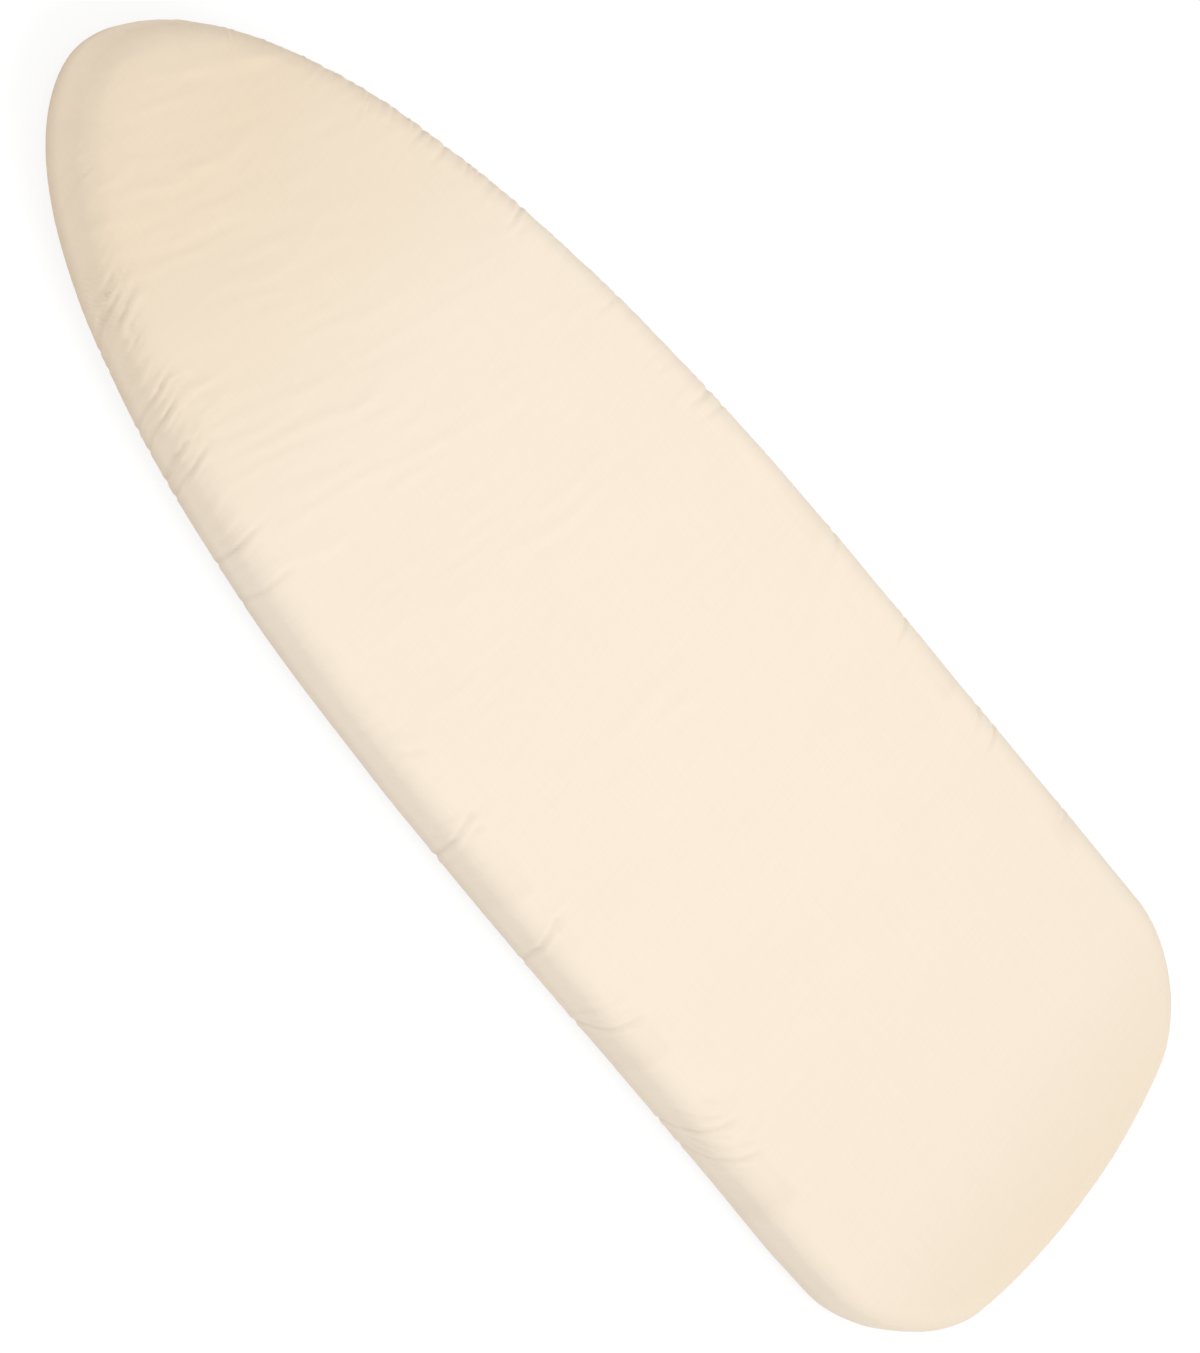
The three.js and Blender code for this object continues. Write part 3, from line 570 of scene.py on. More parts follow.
def elastic_material():
    material, t, shader = new_material("braided elastic")
    along = t.node("ShaderNodeUVMap", uv_map="tape").outputs[0]
    axes = t.axes(along)
    ribs = t.math("ABSOLUTE", t.math("SINE", t.times(axes[1], math.pi / 0.0009)))
    plait = t.math("ABSOLUTE", t.math("SINE", t.times(axes[0], math.pi / 0.0012)))
    height = t.times(ribs, t.add(t.times(plait, 0.5), 0.5))
    # Painted shade: the colour follows the ribs' height, darker in the grooves
    colour = t.mix(height, (0.60, 0.58, 0.54, 1), (0.88, 0.86, 0.82, 1))
    surface(t, shader, colour, t.ramp(height, 0.0, 1.0, 0.9, 0.7), height, 0.8, 0.0003)
    return material


def metal_material(name, colour, roughness, spangle=0.5, streak=0.4, turn=(0, 0, 0)):
    if name in bpy.data.materials:
        return bpy.data.materials[name]
    material, t, shader = new_material(name)
    place = t.stretch(t.place(), (1, 1, 1), turn)
    inputs = {"Place": place, "Colour": rgba(colour), "Spangle": spangle, "Streak": streak, "Roughness": roughness}
    metal = t.group(brushed_metal(), inputs)
    shader.inputs["Metallic"].default_value = 1.0
    surface(t, shader, metal["Colour"], metal["Roughness"], metal["Height"], 0.25, 0.0001)
    return material


def skin_material(name, colour, wear_and_shade, roughness, wear=0.3, scale=900.0, depth=0.0001, coat=0.0, metal=0.0):
    if name in bpy.data.materials:
        return bpy.data.materials[name]
    material, t, shader = new_material(name)
    place = t.place()
    inputs = {"Place": place, "Colour": rgba(colour), "Rubbed": rgba(wear_and_shade), "Wear": wear, "Scale": scale}
    skin = t.group(skin_grain(), {**inputs, "Roughness": roughness})
    if metal:
        t.tree.links.new(t.times(skin["Wear"], metal), shader.inputs["Metallic"])
    shader.inputs["Coat Weight"].default_value = coat
    shader.inputs["Coat Roughness"].default_value = 0.25
    surface(t, shader, skin["Colour"], skin["Roughness"], skin["Height"], 0.35, depth)
    return material


def galvanised():
    return metal_material("galvanised steel", (0.58, 0.60, 0.62), 0.4, 1.1, 0.2)


def zinc_plate():
    return metal_material("zinc plate", (0.66, 0.67, 0.67), 0.3, 0.15, 0.5)


def bright_pin():
    return metal_material("bright steel", (0.72, 0.72, 0.72), 0.22, 0.05, 0.6, (0, 0, math.pi / 2))


def leg_paint():
    worn = {"wear": 0.35, "scale": 1500.0, "depth": 0.00015, "coat": 0.25, "metal": 0.9}
    return skin_material("leg powder coat", (0.80, 0.80, 0.78), (0.42, 0.42, 0.42), 0.38, **worn)


def foot_rubber():
    return skin_material("foot rubber", (0.055, 0.055, 0.058), (0.16, 0.155, 0.15), 0.72, 0.8, 2200.0, 0.00012)


def clip_nylon():
    return skin_material("clip nylon", (0.72, 0.70, 0.64), (0.58, 0.56, 0.5), 0.5, 0.4, 1300.0, 0.0001)


# Modelling by hand: primitives shaped in edit mode and finished with modifiers


def make_active(obj):
    clear_selection()
    bpy.context.view_layer.objects.active = obj
    obj.select_set(True)
    return obj


def edit(obj):
    make_active(obj)
    bpy.ops.object.mode_set(mode="EDIT")
    bpy.ops.mesh.select_mode(type="VERT")
    bpy.ops.mesh.select_all(action="SELECT")


def leave(obj):
    bpy.ops.object.mode_set(mode="OBJECT")
    return obj


def pick(obj, kind, test):
    """In edit mode, select only the edges or faces that pass a test on their middle and themselves."""
    bpy.ops.mesh.select_all(action="DESELECT")
    bpy.ops.mesh.select_mode(type=kind)
    shape = bmesh.from_edit_mesh(obj.data)
    for item in shape.edges if kind == "EDGE" else shape.faces:
        middle = sum((corner.co for corner in item.verts), Vector()) / len(item.verts)
        item.select_set(bool(test(middle, item)))
    bmesh.update_edit_mesh(obj.data)


def extrude(x=0.0, y=0.0, z=0.0):
    bpy.ops.mesh.extrude_region_move(TRANSFORM_OT_translate={"value": (x, y, z)})


def modify(obj, kind, **settings):
    make_active(obj)
    modifier = obj.modifiers.new(kind.lower(), kind)
    for key, value in settings.items():
        setattr(modifier, key, value)
    bpy.ops.object.modifier_apply(modifier=modifier.name)
    return obj


def put(obj, location=(0, 0, 0), rotation=(0, 0, 0)):
    make_active(obj)
    obj.location, obj.rotation_euler = location, rotation
    bpy.ops.object.transform_apply(location=True, rotation=True, scale=True)
    return obj


def copy_of(obj, name, location=(0, 0, 0), rotation=(0, 0, 0)):
    make_active(obj)
    bpy.ops.object.duplicate()
    bpy.context.object.name = name
    return put(bpy.context.object, location, rotation)


def join(pieces):
    clear_selection()
    for piece in pieces:
        piece.select_set(True)
    bpy.context.view_layer.objects.active = pieces[0]
    bpy.ops.object.join()
    return pieces[0]


def unite(obj, tool, operation="UNION"):
    modify(obj, "BOOLEAN", operation=operation, object=tool, solver="EXACT")
    bpy.data.objects.remove(tool)
    return obj


def clean_up(obj, sharp=35.0):
    """Merge doubles, face outwards, and shade smooth but for sharp edges."""
    edit(obj)
    bpy.ops.mesh.remove_doubles(threshold=1e-5)
    bpy.ops.mesh.normals_make_consistent(inside=False)
    leave(obj)
    bpy.ops.object.shade_smooth_by_angle(angle=math.radians(sharp))
    return obj


def turned(name, profile, sides, hollow=False):
    """A piece turned about Z: a circle extruded and scaled from each (radius, height) to the next."""
    clear_selection()
    radius, height = profile[0]
    fill = "NOTHING" if hollow else "NGON"
    bpy.ops.mesh.primitive_circle_add(vertices=sides, radius=radius, fill_type=fill)
    obj = put(bpy.context.object, (0, 0, height))
    obj.name = name
    edit(obj)
    for (r0, z0), (r1, z1) in zip(profile, profile[1:]):
        extrude(z=z1 - z0)
        bpy.ops.transform.resize(value=(r1 / r0, r1 / r0, 1), center_override=(0, 0, z1))
    return leave(obj)


def plate(name, outline, depth):
    """A flat piece: a filled circle whose points move to the outline, extruded along Z by its depth."""
    clear_selection()
    bpy.ops.mesh.primitive_circle_add(vertices=len(outline), radius=0.01, fill_type="NGON")
    obj = bpy.context.object
    obj.name = name
    for vertex, (x, y) in zip(obj.data.vertices, outline):
        vertex.co = (x, y, 0)
    edit(obj)
    extrude(z=depth)
    return leave(obj)


def rounded(points, steps=4):
    """A line through points (x, y, radius) with an arc at each corner between its ends."""
    line = [points[0][:2]]
    for before, here, after in zip(points, points[1:], points[2:]):
        corner, radius = Vector(here[:2]), here[2]
        back = (Vector(before[:2]) - corner).normalized()
        ahead = (Vector(after[:2]) - corner).normalized()
        half = back.angle(ahead) / 2
        centre = corner + (back + ahead).normalized() * radius / math.sin(half)
        start, stop = (corner + way * radius / math.tan(half) - centre for way in (back, ahead))
        line += [tuple(centre + start.lerp(stop, i / steps).normalized() * radius) for i in range(steps + 1)]
    return line + [points[-1][:2]]


def ribbon(line, thick):
    """The outline of a sheet of this thickness along a line."""
    line = np.array(line)
    way = np.gradient(line, axis=0)
    across = np.stack([-way[:, 1], way[:, 0]], 1) / np.linalg.norm(way, axis=1)[:, None] * thick / 2
    return [tuple(point) for point in np.concatenate([line + across, (line - across)[::-1]])]


def middle(node):
    low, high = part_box(node)
    return (Vector(low) + Vector(high)) / 2


# The board's outline and the swept cloth


def half_width_at(x, settings):
    nose_length = settings.nose_share * (LENGTH - settings.tail_bow)
    u = np.minimum((LENGTH / 2 - x) / nose_length, 1.0)
    inside = 1 - np.maximum(1 - u, 0.0) ** settings.nose_fullness
    return WIDTH / 2 * np.maximum(inside, 0.0) ** (1 / settings.nose_roundness)


class Outline:
    """The board's edge from the nose tip round the left side. Shares run from 0 at the nose to 1 at the tail."""

    def __init__(self, settings, fine=1500):
        half = WIDTH / 2
        tail = settings.tail_bow - LENGTH / 2
        angle = np.linspace(0, math.pi / 2, fine)
        bow = lambda y: settings.tail_bow * (1 - (y / half) ** 2)
        nose_x = LENGTH / 2 - settings.nose_share * (LENGTH - settings.tail_bow) * (1 - np.cos(angle))
        corner_y = half - settings.tail_corner * (1 - np.cos(angle))
        corner_x = tail + settings.tail_corner * (1 - np.sin(angle)) - bow(corner_y)
        tail_y = (half - settings.tail_corner) * np.linspace(1, 0, fine)[1:]
        x = np.concatenate([nose_x, corner_x, tail - bow(tail_y)])
        y = np.concatenate([half_width_at(nose_x, settings), corner_y, tail_y])
        run = np.concatenate([[0], np.cumsum(np.hypot(np.diff(x), np.diff(y)))])
        even = np.linspace(0, run[-1], 8000)
        x, y = np.interp(even, run, x), np.interp(even, run, y)
        way = np.stack([np.gradient(x), np.gradient(y)], 1)
        out = np.stack([way[:, 1], -way[:, 0]], 1)
        out = np.sign(out[4000, 1]) * out / np.linalg.norm(out, axis=1)[:, None]
        out[0], out[-1] = (1, 0), (-1, 0)
        width = 60
        kernel = np.hanning(2 * width + 1)
        padded = np.concatenate([out[width:0:-1] * (1, -1), out, out[-2 : -width - 2 : -1] * (1, -1)])
        soft = np.stack([np.convolve(padded[:, i], kernel / kernel.sum(), "valid") for i in (0, 1)], 1)
        self.half_run = run[-1]
        self.share = np.linspace(0, 1, len(even))
        self.place = np.stack([x, y], 1)
        self.out = soft / np.linalg.norm(soft, axis=1)[:, None]

    def ring(self, shares):
        """Points and outward normals at these shares and, mirrored, back along the right side."""
        take = lambda table: np.stack([np.interp(shares, self.share, table[:, i]) for i in (0, 1)], 1)
        join = lambda half: np.concatenate([half, (half * (1, -1))[-2:0:-1]])
        return join(take(self.place)), join(take(self.out)), np.concatenate([shares, -shares[-2:0:-1]])


def spaced(count, weights=((0, 1), (1, 1))):
    """Shares from 0 to 1, closer together where the weight is higher. Weights are given as (share, weight)."""
    fine = np.linspace(0, 1, 4000)
    total = np.concatenate([[0], np.cumsum(np.interp((fine[1:] + fine[:-1]) / 2, *zip(*weights)))])
    return np.interp(np.linspace(0, total[-1], count), total, fine)


def turn(centre, radius, start, stop, steps):
    """An arc in outward distance and height. Angles in degrees, 0 outward and 90 up."""
    angle = np.radians(np.linspace(start, stop, steps))
    return [(centre[0] + radius * math.cos(a), centre[1] + radius * math.sin(a)) for a in angle]


def fullness(share, column):
    """The bulge or the sinking shoulder at this share of the edge."""
    table = np.array(FULLNESS)
    return MM * np.interp(share, table[:, 0], table[:, column])


def crowned(reach, start, rise, edge_round):
    """Height of the crowned top at this outward distance, from its start at the rounded edge."""
    full = WIDTH / 2 - edge_round
    return start + rise * (1 - (1 - (-reach - edge_round) / full) ** 3)


def run_to(start, stop, steps):
    return [tuple(np.add(start, np.subtract(stop, start) * i / steps)) for i in range(1, steps + 1)]


def shoulder(run):
    """Where a fuller, softer edge sinks: from the upper wall over the rounded edge."""
    centre, reach = -0.0063, 0.0133
    return math.cos(math.pi / 2 * min(abs(run - centre) / reach, 1)) ** 2


def sweep(outline, shares, rows, edge_row, middle_rows, settings, lift):
    """Points of a skin through rows of (outward distance, height), then through rings that close on the long axis.

    lift(place, share, run) gives how far each point stands out along its normal. The run along the skin is 0 at
    edge_row, where the rounded edge ends, and more than 0 further in. Also gives each point's place in the flat cut."""
    place, out, share = outline.ring(shares)
    rows = np.array(rows)
    step = np.diff(rows, axis=0)
    run = np.concatenate([[0], np.cumsum(np.hypot(step[:, 0], step[:, 1]))])
    run -= run[edge_row]
    way = np.gradient(rows, run, axis=0)
    way /= np.linalg.norm(way, axis=1)[:, None]
    points, cut = [], []
    top = rows[-1]
    for (reach, height), (way_out, way_up), length in zip(rows, way, run):
        base = place + out * reach
        push = lift(base, share, length) - fullness(share, SINKS) * shoulder(length)
        points.append(np.column_stack([base + out * (way_up * push)[:, None], height - way_out * push]))
        cut.append(place + out * (reach if length > 0 else rows[edge_row][0] - length))
    ring = place + out * top[0]
    spine = np.column_stack([ring[:, 0] * np.where(ring[:, 0] > 0, *SPINE_ENDS), np.zeros(len(ring))])
    full = WIDTH / 2 - settings.edge_round
    start = 1 - (-top[0] - settings.edge_round) / full
    crown = top[1] + settings.crown_rise * start**3
    for i in range(1, middle_rows + 1):
        f = i / middle_rows
        base = ring + (spine - ring) * f
        height = crown - settings.crown_rise * (start * (1 - f)) ** 3
        length = run[-1] + f * start * full
        push = lift(base, share, length) - fullness(share, SINKS) * shoulder(length)
        points.append(np.column_stack([base, height + push]))
        cut.append(base)
    return points, cut


def skin_faces(rows, count):
    r, c = np.meshgrid(np.arange(rows - 1), np.arange(count), indexing="ij")
    n = (c + 1) % count
    return np.stack([r * count + c, r * count + n, (r + 1) * count + n, (r + 1) * count + c], -1).reshape(-1, 4)


# Gathers, folds and creases of the cover. Shares run along the edge from the nose (0) to the tail (1), and below 0
# along the right side

# Share of the edge, and how strongly the gathers show above and under the board
GATHERS_ABOVE = [
    (-1.0, 0.0), (-0.9, 0.1), (-0.75, 0.05), (-0.45, 0.15), (-0.2, 0.7), (-0.08, 0.5), (0.0, 0.3), (0.05, 0.2),
    (0.07, 0.6), (0.09, 0.35), (0.115, 0.4), (0.13, 1.2), (0.15, 1.2), (0.165, 0.5), (0.18, 1.1), (0.205, 1.1),
    (0.212, 0.7), (0.225, 0.9), (0.24, 0.4), (0.265, 0.4), (0.28, 0.8), (0.295, 0.4), (0.34, 0.35), (0.46, 0.3),
    (0.47, 0.7), (0.48, 0.3), (0.585, 0.25), (0.597, 0.8), (0.61, 0.25), (0.66, 0.3), (0.68, 1.0), (0.7, 1.0),
    (0.72, 0.2), (0.88, 0.1), (1.0, 0.0),
]
GATHERS_BELOW = [
    (-1.0, 0.5), (-0.9, 0.9), (-0.75, 0.5), (-0.45, 0.5), (-0.2, 0.6), (-0.08, 0.9), (0.0, 1.0), (0.07, 1.0),
    (0.17, 0.9), (0.21, 0.8), (0.28, 0.7), (0.34, 0.6), (0.66, 0.5), (0.72, 0.6), (0.88, 0.9), (1.0, 0.5),
]
# Share of the edge, and how far the gathers lean towards the tail as they rise
GATHER_LEANS = [
    (-1.0, 0.0), (-0.3, 0.25), (-0.05, 0.0), (0.06, -0.4), (0.12, -0.8), (0.15, -0.9), (0.19, -0.6), (0.24, -0.5),
    (0.3, -0.2), (0.45, -0.2), (0.6, 0.3), (0.68, 1.0), (0.7, 1.0), (0.8, 0.2), (1.0, 0.0),
]
# Single creases up the edge: share, lean, depth in mm, half width in mm
EDGE_CREASES = [
    (0.141, -0.9, 0.4, 0.9), (0.151, -0.9, 0.35, 0.8), (0.191, -0.6, 0.4, 0.9), (0.203, -0.6, 0.4, 0.9),
    (0.221, -0.6, 0.45, 1.0), (0.232, -0.5, 0.4, 0.9), (0.277, -0.3, 0.5, 1.0), (0.303, -0.2, 0.3, 1.0),
    (0.473, -0.35, 0.6, 1.1), (0.549, -0.35, 0.5, 1.1), (0.606, 0.25, 0.5, 1.1), (0.683, 0.4, 0.5, 1.0),
    (0.704, 0.5, 0.5, 1.0), (-0.139, 0.5, 0.2, 1.0), (-0.203, 0.4, 0.3, 1.0), (-0.217, 0.3, 0.25, 0.9),
    (-0.27, 0.2, 0.35, 1.0), (-0.345, 0.3, 0.35, 1.0), (-0.418, 0.25, 0.5, 1.1), (-0.431, 0.35, 0.4, 0.9),
    (-0.522, -0.3, 0.5, 1.1), (-0.587, -0.2, 0.4, 1.0), (-0.652, -0.4, 0.5, 1.1), (-0.668, -0.3, 0.4, 1.0),
    (-0.735, -0.2, 0.4, 1.0),
]
# Share of the edge, how far the cover bulges there past its even width, and how far its shoulder sinks, in mm
FULLNESS = [
    (-1.0, 0.2, 0.0), (-0.9, 0.6, 0.0), (-0.78, 1.0, 0.0), (-0.63, 0.6, 0.0), (-0.475, 1.2, 0.0), (-0.36, 0.9, 0.0),
    (-0.24, 0.0, 0.0), (-0.08, 0.5, 1.2), (0.0, 1.3, 2.8), (0.06, 1.5, 3.1), (0.1, 1.1, 3.0), (0.17, 0.3, 2.8),
    (0.25, 0.0, 2.0), (0.36, 0.1, 1.2), (0.46, -0.4, 1.0), (0.63, -0.4, 1.0), (0.7, 0.2, 1.0), (0.78, 1.5, 0.9),
    (0.84, 1.2, 0.8), (0.91, 2.4, 0.5), (0.96, 0.9, 0.2), (1.0, 0.2, 0.0),
]
BULGES, SINKS = 1, 2
# Share of the edge, and how close together the cover's columns stand there
COLUMN_WEIGHTS = [
    (0, 1.0), (0.04, 1.0), (0.06, 1.9), (0.24, 1.9), (0.27, 1.0), (0.42, 0.7), (0.46, 1.0), (0.48, 1.0), (0.52, 0.6),
    (0.54, 1.0), (0.56, 0.8), (0.59, 1.0), (0.61, 1.0), (0.64, 0.6), (0.67, 1.1), (0.72, 1.1), (0.75, 0.6), (0.84, 0.6),
    (0.88, 0.85), (0.95, 0.85), (1, 0.6),
]
# How far the line on which the top closes reaches towards nose and tail
SPINE_ENDS = (0.93, 0.76)
# From (along, across) to (along, across) as shares of half the board, height in mm, half width in mm
LONG_FOLDS = [
    (0.84, 0.17, 0.79, -0.25, 0.42, 2.5), (0.86, 0.30, 0.81, 0.02, 0.35, 2.2), (0.79, 0.33, 0.71, -0.32, 0.45, 2.7),
    (0.74, 0.04, 0.63, -0.38, 0.35, 3.0), (0.68, 0.02, 0.61, -0.31, 0.35, 2.5), (0.57, 0.43, 0.51, 0.14, 0.28, 2.2),
    (0.57, 0.08, 0.51, -0.34, 0.32, 2.5), (0.52, 0.65, 0.46, 0.09, 0.28, 2.0), (0.51, 0.42, 0.46, 0.02, 0.32, 2.2),
    (0.45, 0.70, 0.31, -0.45, 0.36, 2.0), (0.42, 0.88, 0.38, 0.53, 0.49, 2.0), (0.38, 0.35, 0.34, -0.07, 0.28, 2.4),
    (0.39, -0.54, 0.31, -0.80, 0.28, 2.1), (0.26, 0.71, 0.25, 0.55, 0.28, 1.8), (0.21, 0.17, 0.16, -0.38, 0.42, 2.2),
    (0.23, 0.03, 0.18, -0.43, 0.35, 1.8), (0.15, 0.76, 0.13, 0.50, 0.32, 2.0), (-0.04, 0.51, -0.08, -0.19, 0.42, 3.3),
    (-0.06, 0.40, -0.12, -0.18, 0.28, 2.7), (-0.20, 0.69, -0.22, 0.42, 0.28, 3.8),
    (-0.23, 0.36, -0.24, 0.16, 0.28, 3.8), (0.87, 0.62, 0.85, 0.40, 0.35, 1.7), (0.78, 0.72, 0.77, 0.50, 0.39, 1.7),
    (0.66, 0.80, 0.63, 0.48, 0.39, 1.8), (0.62, 0.84, 0.60, 0.52, 0.35, 1.7), (0.16, 0.98, 0.13, 0.77, 0.35, 1.7),
    (0.02, 1.00, 0.00, 0.82, 0.49, 1.5), (-0.12, 1.00, -0.16, 0.79, 0.42, 1.5), (-0.28, 1.00, -0.33, 0.80, 0.39, 1.7),
    (-0.45, 1.00, -0.52, 0.80, 0.49, 1.7), (-0.50, 1.00, -0.56, 0.82, 0.45, 1.7),
    (0.49, -0.60, 0.47, -0.80, 0.28, 1.7), (0.35, -0.62, 0.33, -0.84, 0.24, 1.7),
    (0.95, -0.02, 0.83, -0.50, 0.35, 2.0), (0.67, -0.04, 0.66, -0.28, 0.24, 1.7),
    (0.93, -0.12, 0.80, -0.62, 0.30, 1.8), (0.90, -0.16, 0.84, -0.46, 0.25, 1.8), (0.90, 0.42, 0.88, 0.18, 0.30, 1.8),
    (0.72, 0.42, 0.66, 0.02, 0.28, 2.0), (0.60, -0.10, 0.54, -0.42, 0.26, 1.8), (0.47, 0.34, 0.43, -0.02, 0.28, 1.8),
    (0.42, 0.16, 0.37, -0.20, 0.26, 1.8), (0.603, 0.66, 0.612, 0.52, 0.45, 0.9),
    (0.606, 0.76, 0.614, 0.60, 0.50, 0.9), (0.602, 0.82, 0.604, 0.70, 0.45, 0.8),
    (0.665, 0.72, 0.672, 0.60, 0.45, 0.9), (0.662, 0.78, 0.672, 0.67, 0.45, 0.9),
    (0.645, 0.72, 0.634, 0.51, 0.50, 1.1), (0.775, 0.68, 0.792, 0.55, 0.40, 0.9),
    (0.750, 0.71, 0.768, 0.57, 0.40, 0.9), (0.572, 0.90, 0.592, 0.73, 0.55, 1.0),
    (0.540, 0.91, 0.553, 0.80, 0.50, 0.9), (0.482, 0.96, 0.470, 0.86, 0.55, 0.9),
]


def ripple(place, seed, low, high, count=14, turned=None, spread=math.pi):
    """Smooth noise from waves of these lengths, about -1 to 1. Turned gives the direction in which it changes."""
    chance = np.random.default_rng(seed)
    total = np.zeros(len(place))
    for _ in range(count):
        length = low * (high / low) ** chance.random()
        a = (turned or 0) + spread * (chance.random() * 2 - 1)
        phase = (place[:, 0] * math.cos(a) + place[:, 1] * math.sin(a)) / length
        total += np.sin(2 * math.pi * (phase + chance.random()))
    return total / math.sqrt(count / 2) / 1.6


class Gathers:
    """Where the creases between neighbouring gathers lie along the edge, and how each gather stands out."""

    def __init__(self, outline, settings, seed=11):
        chance = np.random.default_rng(seed)
        around = 2 * outline.half_run
        gaps = settings.gather_pitch * (0.65 + 0.9 * chance.random(int(around / settings.gather_pitch)) ** 1.4)
        gaps *= around / gaps.sum()
        self.creases = (np.cumsum(gaps) - gaps[0]) / outline.half_run - 1
        count = len(gaps)
        lean = np.interp(self.creases, *zip(*GATHER_LEANS)) + 0.5 * (chance.random(count) - 0.5)
        self.slant = lean / outline.half_run
        self.strength = 0.15 + 0.85 * chance.random(count) ** 1.6
        self.low_strength = 0.5 + 0.5 * chance.random(count)
        self.reach = 0.003 + 0.012 * chance.random(count) ** 1.5
        self.fullness = 0.7 + 0.5 * chance.random(count)

    def height(self, share, run):
        """Height from 0 to 1 at this share of the edge and this distance in from the top of the rounded edge."""
        creases = np.concatenate([self.creases + self.slant * (run + 0.02), [0, 0]])
        creases[-2], creases[-1] = creases[0] + 2, creases[-3] - 2
        order = np.argsort(creases)
        edge = creases[order]
        where = np.searchsorted(edge, share, side="right") - 1
        where = np.clip(where, 0, len(edge) - 2)
        cell = order[where] % len(self.strength)
        cell = np.where(order[where] == len(self.strength), 0, cell)
        t = (share - edge[where]) / np.maximum(edge[where + 1] - edge[where], 1e-9)
        bump_shape = np.abs(np.sin(math.pi * np.clip(t, 0, 1))) ** self.fullness[cell]
        high = np.interp(share, *zip(*GATHERS_ABOVE))
        low = np.interp(share, *zip(*GATHERS_BELOW))
        fade_up = np.clip(1 - (run + 0.006) / self.reach[cell], 0, 1) ** 1.3 * np.clip((run + 0.029) / 0.014, 0, 1)
        fade_low = np.clip(-(run + 0.027) / 0.010, 0, 1)
        strong = np.maximum(high * fade_up * self.strength[cell], low * fade_low * self.low_strength[cell])
        return bump_shape * strong


def edge_creases(share, run, half_run):
    total = np.zeros(len(share))
    for at, lean, depth, half in EDGE_CREASES:
        u = ((share - at) * half_run - lean * (run + 0.015)) / (half * MM)
        total -= depth * MM * (np.exp(-(u**2)) - 0.45 * np.exp(-((np.abs(u) - 2.1) ** 2)))
    return total * np.clip((run + 0.031) / 0.005, 0, 1) * np.clip((0.007 - run) / 0.009, 0, 1)


class Tucks:
    """The wider tucks that the elastic draws up under the board, deepest at the hem."""

    def __init__(self, outline, settings, seed=29):
        chance = np.random.default_rng(seed)
        around = 2 * outline.half_run
        gaps = 0.5 + 1.1 * chance.random(int(around / settings.tuck_pitch))
        self.edge = np.concatenate([[0], np.cumsum(gaps)]) / gaps.sum() * 2 - 1
        self.strength = 0.35 + 0.65 * chance.random(len(gaps))
        self.start = 0.028 + 0.007 * chance.random(len(gaps))
        self.lean = 0.6 * (chance.random(len(gaps) + 1) - 0.5) / outline.half_run
        self.lean[-1] = self.lean[0]

    def height(self, share, run):
        edge = self.edge + self.lean * (-run - 0.03)
        share = np.where(share < edge[0], share + 2, np.where(share >= edge[-1], share - 2, share))
        cell = np.clip(np.searchsorted(edge, share, side="right") - 1, 0, len(self.strength) - 1)
        t = (share - edge[cell]) / (edge[cell + 1] - edge[cell])
        grown = np.clip((-run - self.start[cell]) / 0.009, 0, 1)
        grown = grown * grown * (3 - 2 * grown)
        folded_back = np.clip((-run - 0.048) / 0.006, 0, 1)
        return np.abs(np.sin(math.pi * t)) ** 0.8 * self.strength[cell] * grown * (1 - 0.6 * folded_back)


def long_folds(place):
    total = np.zeros(len(place))
    for ax, ay, bx, by, height, half in LONG_FOLDS:
        a = np.array([ax * LENGTH / 2, ay * WIDTH / 2])
        b = np.array([bx * LENGTH / 2, by * WIDTH / 2])
        way = b - a
        long = np.linalg.norm(way)
        way /= long
        offset = place - a
        t = offset @ way / long
        across = offset @ np.array([way[1], -way[0]]) - 0.0012 * np.sin(t * 7 + ax * 20)
        inside = np.clip(t, 0, 1)
        taper = np.sin(math.pi * np.clip(0.04 + 0.92 * inside, 0, 1)) ** 0.7 * np.where((t < 0) | (t > 1), 0, 1)
        u = across / (half * MM)
        total += height * MM * taper * (np.exp(-(u**2)) - 0.35 * np.exp(-((u - 1.9) ** 2)))
    return total


# Depth and half width of the seam's groove, how deep a crease may reach, and where the cloth's inner face lies
SEAM_DEPTH, SEAM_HALF, DEEPEST, INNER_LIFT = 0.0004, 0.0007, -0.00055, -0.0002
# The inner face has one column for this many of the outer one
COARSER = 3


